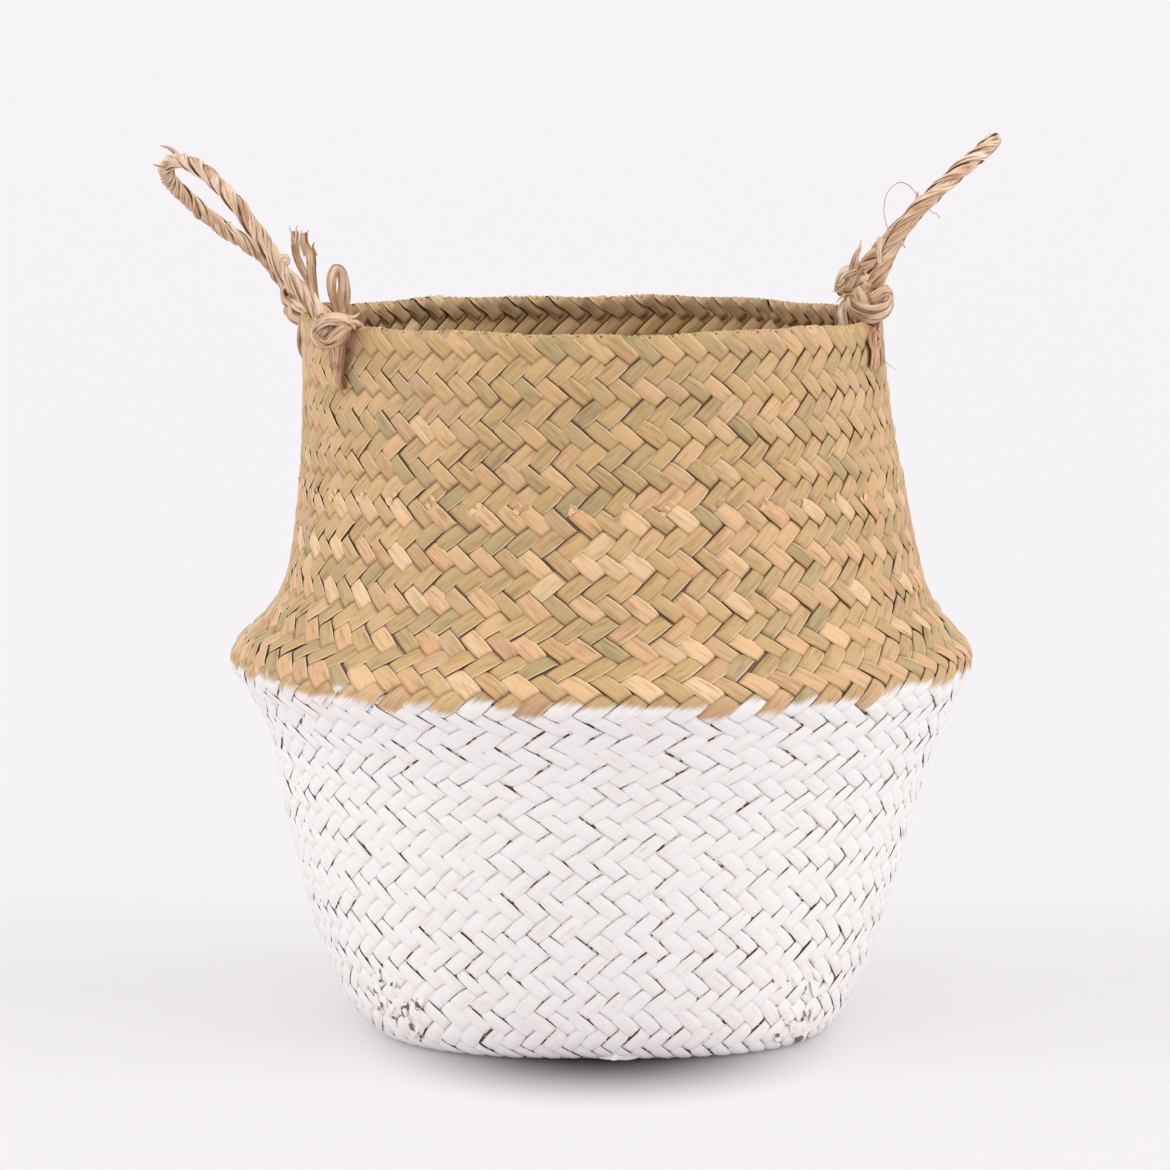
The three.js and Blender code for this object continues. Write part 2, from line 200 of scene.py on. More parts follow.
def meridian():
    # The middle of the plaited sheet from under the base, up the wall and over the rim: the
    # outline moved inwards along its normal, then half a turn, then down the inside. The row
    # count grows by 2k ds / (steepness r), with k blades in each radian.
    outer = curveThrough(body["outline"], 1500)
    step = np.gradient(outer, axis=0)
    step /= np.linalg.norm(step, axis=1)[:, None]
    middle = outer + body["middle"] * np.stack([-step[:, 1], step[:, 0]], 1)
    roll = body["rimRoll"]
    turn = np.linspace(0, math.pi, 40)[1:]
    top = middle[-1]
    over = np.stack([top[0] - roll + roll * np.cos(turn), top[1] + roll * np.sin(turn)], 1)
    drop = np.linspace(0, -body["turnedDown"], 41)[1:]
    down = np.stack([np.full(40, over[-1, 0]), drop + over[-1, 1]], 1)
    line = np.vstack([middle, over, down])
    along = np.gradient(line, axis=0)
    length = np.linalg.norm(along, axis=1)
    normal = np.stack([along[:, 1], -along[:, 0]], 1) / length[:, None]
    heights, rises = np.array(body["steepness"]).T
    rate = 2 * body["blades"] / (2 * math.pi) * length / (np.interp(line[:, 1], heights, rises) * line[:, 0])
    row = np.cumsum(rate)
    atLine = np.interp(body["rowLine"], middle[:, 1][300:], row[:len(middle)][300:])
    row += 3.5 - atLine % 4  # shifted so that a row ends at the row line
    return {"row": row, "line": line, "normal": normal, "wall": len(middle)}


sheet = meridian()
rowOfWallTop = sheet["row"][sheet["wall"] - 1]


def rowAt(height):
    return np.interp(height, sheet["line"][:sheet["wall"], 1], sheet["row"][:sheet["wall"]])


rowOfRim = rowAt(body["rowLine"])


def onSheet(angle, row, lift):
    # A place on the body: its angle round the axis, its row count and its height over the
    # sheet's middle. The plan is a superellipse whose power falls from basePower to 2. The rows
    # of handwork wave a little: in 5, 11 and 17 waves that shift with height, and more at the
    # foot. The rim goes up and down by less than 1 mm, in 6 and 15 waves.
    wave = 0.16 * np.sin(5 * angle + 0.11 * row) + 0.1 * np.sin(11 * angle - 0.17 * row + 1)
    wave = wave + (0.06 + 0.12 * smooth(row, 18, 6)) * np.sin(17 * angle + 0.4 * row + 2)
    fade = smooth(row, sheet["row"][0] + 4, sheet["row"][0] + 10) * smooth(rowOfWallTop - row, 1, 8)
    rimWave = 0.5 * np.sin(6 * angle + 1) + 0.35 * np.sin(15 * angle)
    row, angle = row + wave * fade, angle + 0.004 * fade * np.sin(7 * angle + 0.23 * row)
    r, z, nr, nz = (np.interp(row, sheet["row"], a) for a in (*sheet["line"].T, *sheet["normal"].T))
    r, z = r + lift * nr, np.maximum(z + lift * nz, 0.05)  # pressed flat where it stands
    z = z + rimWave * smooth(z, 265, 300)
    power = 2 + (body["basePower"] - 2) * np.exp(-z / body["rounding"])
    factor = (np.abs(np.cos(angle)) ** power + np.abs(np.sin(angle)) ** power) ** (-1 / power)
    heights, offsets = np.array(body["sway"]).T
    x = r * factor * np.cos(angle) + np.interp(z, heights, offsets)
    y = r * factor * np.sin(angle) * (1 + body["deeper"] * np.exp(-z / body["rounding"]))
    return np.stack([x, y, z], -1)


# Seagrass blades

def bladeMaterial():
    # Dried seagrass: flat split blades, pressed and plaited. Dull waxy skin with fine fibres
    # along the blade, tan to khaki with olive and pink-brown ones. Painted shade darkens each
    # blade's left edge and where it lies under others, and a painted highlight lightens its right
    # edge. The lower half is brushed with thick matt white paint, which leaves some deep gaps bare.
    material, tree = emptyMaterial("driedSeagrassBlade")
    fibre = addNode(tree, "ShaderNodeAttribute", {"attribute_name": "fibre"})
    tone = addNode(tree, "ShaderNodeAttribute", {"attribute_name": "tone"})
    cover = addNode(tree, "ShaderNodeAttribute", {"attribute_name": "cover"})
    place = addNode(tree, "ShaderNodeAttribute", {"attribute_name": "place"})
    tones = addNode(tree, "ShaderNodeSeparateXYZ", {}, {0: tone.outputs["Vector"]})
    covers = addNode(tree, "ShaderNodeSeparateXYZ", {}, {0: cover.outputs["Vector"]})
    places = addNode(tree, "ShaderNodeSeparateXYZ", {}, {0: place.outputs["Vector"]})
    # fibres 0.4 mm wide and 12 mm long, and blots 2 by 14 mm
    fine = addNode(tree, "ShaderNodeMapping", {}, {
        "Vector": fibre.outputs["Vector"], "Scale": (2.4, 0.085, 1.0)})
    streak = addNode(tree, "ShaderNodeTexNoise", {}, {
        "Vector": fine.outputs[0], "Scale": 1.0, "Detail": 3.0, "Roughness": 0.62})
    broad = addNode(tree, "ShaderNodeMapping", {}, {
        "Vector": fibre.outputs["Vector"], "Scale": (0.5, 0.07, 1.0)})
    blot = addNode(tree, "ShaderNodeTexNoise", {}, {"Vector": broad.outputs[0], "Scale": 1.0, "Detail": 2.0})
    base = addNode(tree, "ShaderNodeValToRGB", {}, {0: tones.outputs[0]}, [
        (0.0, "ad996e"), (0.15, "bba072"), (0.33, "c4a371"), (0.55, "cca876"), (0.72, "d7b183"),
        (0.84, "cca57d"), (0.93, "c09c78"), (1.0, "e0c294")])
    peach = addNode(tree, "ShaderNodeValToRGB", {}, {0: tones.outputs[1]}, [
        (0.0, "d4a97e"), (0.45, "e0b98c"), (0.75, "ebc8a0"), (1.0, "d9aa7c")])
    ground = addNode(tree, "ShaderNodeMix", {"data_type": "RGBA"}, {
        0: tones.outputs[2], 6: base.outputs[0], 7: peach.outputs[0]})
    shade = addNode(tree, "ShaderNodeValToRGB", {}, {0: streak.outputs[0]}, [
        (0.28, "b3a08a"), (0.42, "ece4da"), (0.55, "ffffff"), (0.8, "ffffff")])
    # most blades are smooth, and some have split along their fibres
    worn = addNode(tree, "ShaderNodeMapRange", {}, {0: tones.outputs[1], 1: 0.45, 2: 1.0, 3: 0.22, 4: 0.95})
    streaked = addNode(tree, "ShaderNodeMix", {"data_type": "RGBA", "blend_type": "MULTIPLY"}, {
        0: worn.outputs[0], 6: ground.outputs[2], 7: shade.outputs[0]})
    mottle = addNode(tree, "ShaderNodeValToRGB", {}, {0: blot.outputs[0]}, [
        (0.3, "d8cbb6"), (0.5, "ffffff"), (0.72, "fff3de")])
    mottled = addNode(tree, "ShaderNodeMix", {"data_type": "RGBA", "blend_type": "MULTIPLY"}, {
        0: 0.75, 6: streaked.outputs[2], 7: mottle.outputs[0]})
    # cover: x is 0 at the middle of the blade and -1 and 1 at its edges, y is 1 where this face
    # of the blade is on top and -1 where others cover it, z is 1 outside the basket and -1
    # inside. The left edge gets a painted shade and the right one a painted highlight.
    # painted shade on each blade's left edge
    edgeShade = addNode(tree, "ShaderNodeMapRange", {}, {0: covers.outputs[0], 1: -0.72, 2: -1.0, 3: 0.0, 4: 0.5})
    edgeShaded = addNode(tree, "ShaderNodeMix", {"data_type": "RGBA"}, {
        0: edgeShade.outputs[0], 6: mottled.outputs[2], 7: linear("8c6536")})
    # painted highlight on each blade's right edge
    edgeHighlight = addNode(tree, "ShaderNodeMapRange", {}, {0: covers.outputs[0], 1: 0.78, 2: 0.95, 3: 0.0, 4: 0.55})
    edgeLit = addNode(tree, "ShaderNodeMix", {"data_type": "RGBA"}, {
        0: edgeHighlight.outputs[0], 6: edgeShaded.outputs[2], 7: linear("f0dab4")})
    # painted shade: dark brown where this face lies under other blades
    underShade = addNode(tree, "ShaderNodeMapRange", {}, {0: covers.outputs[1], 1: 0.6, 2: -0.6, 3: 0.0, 4: 0.92})
    grass = addNode(tree, "ShaderNodeMix", {"data_type": "RGBA"}, {
        0: underShade.outputs[0], 6: edgeLit.outputs[2], 7: linear("4f3014")})
    # Paint, up to a line at about 155 mm that wanders some 5 mm, that the brush drags along the
    # blades and that steps from blade to blade
    wander = addNode(tree, "ShaderNodeTexNoise", {}, {
        "Vector": place.outputs["Vector"], "Scale": 0.045, "Detail": 1.0})
    drag = addNode(tree, "ShaderNodeTexNoise", {}, {"Vector": fine.outputs[0], "Scale": 0.8, "Detail": 2.0})
    wandered = addNode(tree, "ShaderNodeMath", {"operation": "MULTIPLY_ADD"}, {
        0: wander.outputs[0], 1: 12.0, 2: places.outputs[2]})
    dragged = addNode(tree, "ShaderNodeMath", {"operation": "MULTIPLY_ADD"}, {
        0: drag.outputs[0], 1: 5.0, 2: wandered.outputs[0]})
    stepped = addNode(tree, "ShaderNodeMath", {"operation": "MULTIPLY_ADD"}, {
        0: tones.outputs[0], 1: 9.0, 2: dragged.outputs[0]})
    below = addNode(tree, "ShaderNodeMapRange", {"interpolation_type": "SMOOTHSTEP"}, {
        0: stepped.outputs[0], 1: 169.5, 2: 165.9, 3: 0.0, 4: 1.0})
    outside = addNode(tree, "ShaderNodeMapRange", {}, {
        0: covers.outputs[2], 1: -0.35, 2: 0.1, 3: 0.0, 4: 1.0})
    # bare where the blade is deep and a noise of 4 mm is high, more often near the foot and most
    # at its four corners, where x times y is great
    missed = addNode(tree, "ShaderNodeTexNoise", {}, {
        "Vector": place.outputs["Vector"], "Scale": 0.26, "Detail": 1.5})
    low = addNode(tree, "ShaderNodeMapRange", {}, {0: places.outputs[2], 1: 70.0, 2: 5.0, 3: 0.0, 4: 0.06})
    product = addNode(tree, "ShaderNodeMath", {"operation": "MULTIPLY"}, {
        0: places.outputs[0], 1: places.outputs[1]})
    size = addNode(tree, "ShaderNodeMath", {"operation": "ABSOLUTE"}, {0: product.outputs[0]})
    corner = addNode(tree, "ShaderNodeMapRange", {}, {
        0: size.outputs[0], 1: 4200.0, 2: 7000.0, 3: 1.0, 4: 3.0})
    lowCorner = addNode(tree, "ShaderNodeMath", {"operation": "MULTIPLY"}, {
        0: low.outputs[0], 1: corner.outputs[0]})
    missedLow = addNode(tree, "ShaderNodeMath", {"operation": "ADD"}, {
        0: missed.outputs[0], 1: lowCorner.outputs[0]})
    hidden = addNode(tree, "ShaderNodeMath", {"operation": "MULTIPLY_ADD"}, {
        0: covers.outputs[1], 1: -0.3, 2: missedLow.outputs[0]})
    reached = addNode(tree, "ShaderNodeMapRange", {}, {
        0: hidden.outputs[0], 1: 0.765, 2: 0.84, 3: 1.0, 4: 0.0})
    scraped = addNode(tree, "ShaderNodeValToRGB", {}, {0: streak.outputs[0]}, [
        (0.25, "000000"), (0.31, "ffffff")])
    painted = addNode(tree, "ShaderNodeMath", {"operation": "MULTIPLY"}, {
        0: below.outputs[0], 1: outside.outputs[0]})
    covered = addNode(tree, "ShaderNodeMath", {"operation": "MULTIPLY"}, {
        0: painted.outputs[0], 1: reached.outputs[0]})
    coat = addNode(tree, "ShaderNodeMath", {"operation": "MULTIPLY"}, {
        0: covered.outputs[0], 1: scraped.outputs[0]})
    # the painted blades turn greyer at their left edge: painted shade there
    white = addNode(tree, "ShaderNodeMix", {"data_type": "RGBA"}, {
        0: edgeShade.outputs[0], 6: linear("f1edeb"), 7: linear("dfd7d2")})
    whiteShade = addNode(tree, "ShaderNodeMix", {"data_type": "RGBA", "blend_type": "MULTIPLY"}, {
        0: 0.2, 6: white.outputs[2], 7: shade.outputs[0]})
    colour = addNode(tree, "ShaderNodeMix", {"data_type": "RGBA"}, {
        0: coat.outputs[0], 6: grass.outputs[2], 7: whiteShade.outputs[2]})
    bump = addNode(tree, "ShaderNodeBump", {}, {
        "Strength": 0.3, "Distance": 0.0003, "Height": streak.outputs[0]})
    shader = addNode(tree, "ShaderNodeBsdfPrincipled", {}, {
        "Base Color": colour.outputs[2], "Roughness": 0.5, "Normal": bump.outputs[0],
        "Specular IOR Level": 0.5})
    addNode(tree, "ShaderNodeOutputMaterial", {}, {0: shader.outputs[0]})
    return material


blades = {
    "width": (0.485, 0.485),  # half widths of a left-leaning and a right-leaning blade, of a cell
    "spliced": (0.52, 0.45),  # and of a new peach blade and the old ones between them
    "bulge": 0.13,  # how much wider the middle of a float is than its ends
    "rise": 0.64,  # mm, over and under the sheet's middle
    "thickness": 0.34,  # mm, half of it
    "crown": (0.27, 0.38),  # mm, of a painted and of a bare float
    "stops": (0, 0.14, 0.32, 0.62, 1, 1.38, 1.68, 1.86),  # samples in a float two cells long
    "splice": 230.5,  # height under which every second left-leaning blade is a new peach one
    "cut": 154.0,  # height about which a blade is divided into its lower and its upper length
    "groups": 4,  # round the body, to keep the pieces small
}

# A blade's section: places across it, from -1 to 1, and up it
section = np.array([
    (-1, 0.25), (-0.6, 0.85), (0, 1), (0.6, 0.85), (1, 0.25), (0.92, -0.4), (0, -1), (-0.92, -0.4),
])


def layerOf(row, leftward):
    # positive where the blade is over the others and negative where it is under: a sine of the
    # row count with a period of four cells, flattened so that a float is a low arch
    wave = np.sin(math.pi / 2 * (row + 0.5))
    return (1 if leftward else -1) * wave / np.sqrt(wave ** 2 + 0.12)


def foldWithNeck(piece):  # the piece's placement is baked into its mesh
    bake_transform(piece)


def spliceRow():  # the left-leaning floats' upper end over the splice height
    row = rowAt(blades["splice"])
    return row + 4 - (row - 1.5) % 4


def makeBlades(leftward, random):
    # Each blade is a section carried along a diagonal of the sheet. Counted in cells, with own
    # across the blades that lean its way and other across the rest, a point's angle is
    # (own + other) / 2k, with k blades in each radian, and its row count is their difference.
    # Its height over the sheet's middle is the float's, plus a crown across it.
    perRadian = body["blades"] / (2 * math.pi)
    count = body["blades"]
    first = sheet["row"][0] + 0.1
    last = sheet["row"][-1] - 0.05 if leftward else rowOfWallTop - 0.25
    start = math.floor((first + 0.5) / 2) * 2 - 0.5
    rows = (start + np.arange(0, last - start + 2, 2)[:, None] + np.array(blades["stops"])).ravel()
    rows = rows[(rows > first) & (rows < last)]
    index = np.arange(count)
    floats = np.floor((rows + 0.5) / 2).astype(int)
    floats -= floats.min()
    seeds = random.random((count, floats.max() + 1, 4))[:, floats]
    stripSeed = random.random((count, 3))
    layer = np.broadcast_to(layerOf(rows, leftward), (count, len(rows))).copy()
    spliced = (rows < spliceRow()) & leftward
    peach = (index[:, None] % 2 == 1) & spliced[None]
    if not leftward:  # the ends that show only inside, under the rim, are partly new peach ones
        peach = (seeds[..., 3] < 0.4) & (rows > rowOfRim + 1.4)
    if leftward:  # over the rim the blade stays on top, and dives at its end
        layer[:, rows > rowOfRim + 1] = 0.87
        layer = np.where(rows > sheet["row"][-1] - 0.5, 0.1, layer)
    half = np.full((count, len(rows)), blades["width"][0 if leftward else 1])
    if leftward:
        half = np.where(spliced[None], np.where(peach, *blades["spliced"]), half)
    arch = np.abs(np.sin(math.pi / 2 * (rows + 0.5)))
    turned = smooth(rows, rowOfRim + 0.6, rowOfRim + 1.6) * leftward
    arch = np.maximum(arch, turned * (1 - 0.5 * smooth(rows, rowOfWallTop + 0.8, rowOfWallTop + 1.8)))
    half = half * (0.94 + blades["bulge"] * arch * np.where(layer > 0, 1, 0.3) + 0.15 * (seeds[..., 0] - 0.5))
    pointed = 0.2 * smooth(rows, rowOfWallTop + 0.8, rowOfWallTop + 1.6)
    half = half + 0.04 * turned - pointed * (0.4 + stripSeed[:, 2:])
    wobble = 0.18 * (seeds[..., 1] - 0.5) * np.clip(layer, 0, 1)
    wobble = wobble + 0.05 * np.sin(rows * 0.45 + 40 * stripSeed[:, :1]) * smooth(rowOfWallTop - rows, 0, 8)
    lift = blades["rise"] * layer + 0.16 * (seeds[..., 2] - 0.5) * np.clip(layer, 0, 1)
    lift = lift + 0.4 * (stripSeed[:, 1:2] - 0.5) * turned
    tilt = 0.3 * (seeds[..., 3] - 0.5) * np.clip(np.abs(layer), 0.3, 1)
    across, up = section.T
    own = index[:, None, None] + 0.5 + wobble[..., None] + half[..., None] * across
    centre = index[:, None, None] + 0.5
    if leftward:
        other = centre - rows[None, :, None]
        angle, row = (own + other) / (2 * perRadian), own - other
    else:
        other = centre + rows[None, :, None]
        angle, row = (own + other) / (2 * perRadian), other - own
    height = lift[..., None] + blades["thickness"] * up + tilt[..., None] * across
    crown = np.interp(rows, [rowAt(145), rowAt(160)], blades["crown"]) * (1 - 0.7 * turned)
    height = height + (crown * np.sign(layer))[..., None] * (1 - across ** 2)
    rings = onSheet(angle, row, height)
    cell = 2 * math.pi * np.interp(rows, sheet["row"], sheet["line"][:, 0]) / count / math.sqrt(2)
    length = np.concatenate([[0], np.cumsum(np.diff(rows) * (cell[1:] + cell[:-1]) / 2)])
    # painted shade on the turned ends inside the rim: their cover's y is lowered so that they darken
    rimShade = 0.87 * smooth(rows, rowOfWallTop + 0.5, rowOfWallTop + 1) * leftward
    face = np.where(up > 0, 1.0, -1.0)
    shade = np.clip(0.5 + 0.62 * (seeds[..., 0:1] - 0.5) + 0.5 * (stripSeed[:, None, 1:2] - 0.5), 0, 1)
    values = {
        "fibre": np.stack(np.broadcast_arrays(
            half[..., None] * across * cell[None, :, None],
            length[None, :, None] + 37.0 * stripSeed[:, None, :1] * 10,
            (index[:, None, None] + (0 if leftward else 200)) * 3.7 + 0 * across), -1),
        "tone": np.stack(np.broadcast_arrays(
            shade + 0 * across, seeds[..., 1:2] + 0 * across, peach[..., None] * 1.0 + 0 * across), -1),
        "cover": np.stack(np.broadcast_arrays(across, (layer - rimShade)[..., None] * face, face), -1),
        "place": rings,
    }
    values = {name: np.broadcast_to(value, rings.shape) for name, value in values.items()}
    # divided where the blades are under others, near the height of the cut
    away = np.where(layer[0] < -0.9, np.abs(rows - rowAt(blades["cut"])), 1e9)
    return rings, values, int(np.argmin(away))


def placeBlades(leftward, material, random):
    # The blades that lean one way, in groups round the body and in a lower and an upper length
    rings, values, cut = makeBlades(leftward, random)
    lean = "left" if leftward else "right"
    each = body["blades"] // blades["groups"]
    for group in range(blades["groups"]):
        part = slice(group * each, (group + 1) * each)
        for zone, span in (("lower", slice(0, cut + 1)), ("upper", slice(cut, None))):
            own = {name: value[part, span] for name, value in values.items()}
            piece = tubeMesh(f"{zone}_{lean}_blades_{group + 1}", rings[part, span], material, own)
            if zone == "lower":
                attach(piece, "lower_basket")
                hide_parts("foot", "lower_wall")
            else:
                foldWithNeck(piece)
                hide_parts("shoulder", "upper_wall", "rim")


# The dark sheet that paints the shade in the pockets between the blades
shadeSheet = {
    "thickness": 0.1,  # mm, half of it
    "stops": (140, 90),  # round the body and up it
    "sectors": 12,
}


def makeShadeSheet(material):
    # A thin dark layer at the middle of the sheet, a painted shade that shows in the pockets
    # between the blades. It also closes the pinholes that are left at the crossings, where real
    # blades are pressed together: in sectors, each a flat closed tube up the wall, whose ring is a
    # thin band a little wider than the sector.
    around, steps = shadeSheet["stops"]
    row = np.linspace(sheet["row"][0] + 1, rowOfWallTop - 0.3, steps)
    sectors = shadeSheet["sectors"]
    span = np.linspace(0, 1.002, around // sectors)
    angle = (np.arange(sectors)[:, None] + span) * 2 * math.pi / sectors
    angle = np.concatenate([angle, angle[:, ::-1]], 1)[:, None]
    lift = np.repeat([shadeSheet["thickness"], -shadeSheet["thickness"]], len(span))
    rings = onSheet(angle, row[None, :, None], lift)
    # a dark tone, and cover's y of -1 for the full painted shade
    values = {
        "fibre": rings, "tone": np.broadcast_to([0.2, 0.2, 0.0], rings.shape), "place": rings,
        "cover": np.broadcast_to(np.stack([0 * lift, 0 * lift - 1, np.sign(lift)], -1), rings.shape),
    }
    layer = tubeMesh("shade_sheet_middle", rings, material, values)
    foldWithNeck(layer)


mat = {
    "pitch": 6.5,  # mm from blade to blade
    "each": 29,  # blades each way
    "radius": 89.5,
    "height": 1.5,  # mm, of its middle over the floor
    "tuck": (79.0, 86.0, 2.0),  # it rises by the last between these distances, over the wall's start
    "steps": 116,
    "width": 0.46,  # half of a blade's, of the pitch
    "rise": 0.6,  # mm, over and under its middle
    "thickness": 0.34,  # mm, half of it
    "crown": 0.35,  # mm
    "tuft": [  # three blade ends before the foot, in mm
        [(-5, -98, 2.6), (0, -101.5, 2.2), (5, -104, 2.0), (9, -104.5, 1.8)],
        [(0, -98, 2.8), (5, -102, 2.4), (9, -103, 2.1), (15, -102, 1.8)],
        [(10, -98.5, 2.5), (8, -101.5, 2.3), (5.5, -105, 2.1), (4, -107, 1.6)],
    ],
}


def makeMat(material, random):
    # The base: straight blades both ways at 45 degrees, over two and under two, cut off at a
    # superellipse like the body's. Its outer face is the lower one.
    pitch, steps = mat["pitch"], mat["steps"]
    offset = (np.arange(mat["each"]) - (mat["each"] - 1) / 2) * pitch
    power = body["basePower"]
    t = np.linspace(-140, 140, 1121)
    across, up = section.T
    face = np.where(up > 0, 1.0, -1.0)
    parts = []
    for leftward in (True, False):
        along = np.array([1.0, 1.0 if leftward else -1.0]) / math.sqrt(2)
        aside = np.array([-along[1], along[0]])
        line = offset[:, None, None] * aside + t[:, None] * along
        inside = (np.abs(line) ** power).sum(-1) < mat["radius"] ** power
        first, last = t[inside.argmax(1)], t[len(t) - 1 - inside[:, ::-1].argmax(1)]
        way = first[:, None] + (last - first)[:, None] * np.linspace(0, 1, steps)
        own, other = (offset / pitch)[:, None], way / pitch
        other = other if leftward else -other
        row = (own - other) if leftward else (other - own)
        layer = layerOf(row, leftward)
        half = mat["width"] * pitch * (0.9 + 0.14 * np.abs(layer))
        half = half + 0.2 * (random.random((len(offset), 1)) - 0.5)
        side = offset[:, None, None] + half[..., None] * across
        height = mat["rise"] * layer[..., None] + mat["thickness"] * up
        height = height + (mat["crown"] * np.sign(layer))[..., None] * (1 - across ** 2)
        plan = side[..., None] * aside + way[..., None, None] * along
        reach = (np.abs(plan) ** power).sum(-1) ** (1 / power)
        low, high, rise = mat["tuck"]
        z = mat["height"] + rise * smooth(reach, low, high) - height
        rings = np.concatenate([plan, z[..., None]], -1)
        seeds = random.random((len(offset), 1, 1)) + 0 * z
        parts.append((rings, {
            "fibre": np.stack([side, way[..., None] + 0 * z, 40 * seeds], -1),
            "tone": np.stack([0.25 + 0.5 * seeds, seeds, 0 * z], -1),
            "cover": np.stack(np.broadcast_arrays(across, layer[..., None] * face, face), -1),
            "place": rings,
        }))
    for (rings, values), name in zip(parts, ("left", "right")):
        piece = tubeMesh(f"base_{name}_blades", rings, material, values)
        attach(piece, "lower_basket")
        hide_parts("base")


def onBlade(leftward, index, row, offset, lift):  # a place on a blade: offset across it in cells
    perRadian = body["blades"] / (2 * math.pi)
    own = index + 0.5 + offset
    other = index + 0.5 - row if leftward else index + 0.5 + row
    return onSheet((own + other) / (2 * perRadian), own - other if leftward else other - own, lift)


def makeScraps(name, paths, width, thickness, tone, material, random, body):
    # Torn bits and fibres that lie on the sheet, as flat tapered strips with the blades'
    # material. tone holds, for each, how light it is, how far it is a new peach blade, and
    # whether it lies on top (1) or so deep that no paint reaches it (under 0), the lower the more
    # darkened by painted shade.
    steps = paths.shape[1]
    taper = np.sin(np.linspace(0.12, 0.97, steps) * math.pi) ** 0.6
    facing = paths * np.array([0, 0, 1.0])
    rings, values = strandRings(paths, width * taper, thickness * taper, random, facing=facing)
    seed, peach, top = (np.broadcast_to(np.reshape(t, (-1, 1, 1)), rings.shape[:3]) for t in tone)
    values["tone"] = np.stack([seed, 0.6 + 0.2 * seed, peach], -1)
    values["cover"] = np.stack([0 * seed, top, 0 * seed + 1], -1)
    values["place"] = rings
    piece = tubeMesh(name, rings, material, values, sharp=40)
    if body:
        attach(piece, body)
    else:
        foldWithNeck(piece)


details = {
    "startsEach": (-0.32, 0.02, 0.34),  # where a peach blade's frayed ends lie across it, in cells
    "fibres": 150,  # split off the blades that lean one way
    "tucks": 24,  # at each corner
}


def makeDetails(material, random):
    # Starts of the peach blades: three pale frayed ends over each, a quarter to over half a
    # cell long
    steps = np.linspace(0, 1, 9)
    across = details["startsEach"]
    index = np.repeat(np.arange(1, body["blades"], 2), len(across))[:, None]
    count = len(index)
    start = spliceRow() - 0.3 + 0.3 * random.random((count, 1))
    row = start + (0.25 + 0.35 * random.random((count, 1))) * steps
    spot = np.tile(across, count // len(across))[:, None]
    offset = spot + 0.3 * (random.random((count, 1)) - 0.5) * (1 + steps)
    lift = 1.1 + (0.1 + 0.6 * random.random((count, 1))) * steps ** 1.5
    tone = (0.9 + 0.1 * random.random(count), random.random(count) < 0.8, np.ones(count))
    width = 0.7 + 1.2 * random.random((count, 1))
    paths = onBlade(True, index, row, offset, lift)
    makeScraps("blade_starts", paths, width, 0.22, tone, material, random, "neck")
    # Fibres split off along the floats' edges
    for leftward, name in ((True, "left"), (False, "right")):
        count = details["fibres"]
        index = random.integers(0, body["blades"], (count, 1))
        levels = np.arange(math.ceil(rowAt(5) / 4), math.floor(rowAt(288) / 4))
        middle = random.choice(levels, (count, 1)) * 4 + (0.5 if leftward else 2.5)
        row = middle + 0.25 * (random.random((count, 1)) - 0.5)
        row = row + (steps - 0.5) * (0.9 + 0.9 * random.random((count, 1)))
        offset = np.sign(random.random((count, 1)) - 0.35) * (0.2 + 0.24 * random.random((count, 1)))
        offset = offset + 0.12 * (random.random((count, 1)) - 0.5) * (steps - 0.5) ** 2 * 4
        rise = 0.6 + 0.55 * np.cos((row - middle) * math.pi / 2.6) + 0.42 * (1 - 4 * offset ** 2)
        lift = np.maximum(rise, 0.5) + 0.22 + 0.5 * random.random((count, 1)) * np.abs(steps - 0.5) ** 2
        width = 0.16 + 0.3 * random.random((count, 1)) ** 2
        tone = (0.6 + 0.4 * random.random(count), random.random(count) < 0.3, np.ones(count))
        paths = onBlade(leftward, index, row, offset, lift)
        makeScraps(f"{name}_split_fibres", paths, width, 0.14, tone, material, random, None)
    # Tucks at the foot's corners, where the blades of the base are gathered into the wall
    count = 4 * details["tucks"]
    corner = np.repeat(np.array([45.0, 135, 225, 315]), details["tucks"])[:, None]
    angle = np.radians(corner + 15 * (random.random((count, 1)) - 0.5))
    height = 6 + 30 * random.random((count, 1))
    lean = (random.random((count, 1)) - 0.5) * 1.7
    row = rowAt(height) + (steps - 0.5) * (1.2 + 1.2 * random.random((count, 1)))
    angle = angle + lean * (steps - 0.5) * 0.09
    lift = 0.8 + 0.8 * random.random((count, 1)) - 1.6 * np.abs(steps - 0.5) ** 1.5
    light, peach, top = 0.5 + 0.5 * random.random(count), random.random(count) < 0.5, random.random(count)
    # a deep one is left bare and darkened by painted shade
    tone = (light, peach, np.where(top < 0.4, -0.45, top))
    width = 1.1 + 1.5 * random.random((count, 1))
    paths = onSheet(angle, row, lift)
    makeScraps("corner_tucks", paths, width, 0.35, tone, material, random, "lower_basket")
    # The tuft of blade ends under the front, where the base's last blades are turned in
    paths = np.stack([curveThrough(points, 9) for points in mat["tuft"]])
    tone = (np.full(3, 0.9), np.ones(3), np.array([1.0, 0.6, 1.0]))
    width = np.full((3, 1), 1.9)
    makeScraps("foot_tuft", paths, width, 0.5, tone, material, random, "lower_basket")


# Cord and knots

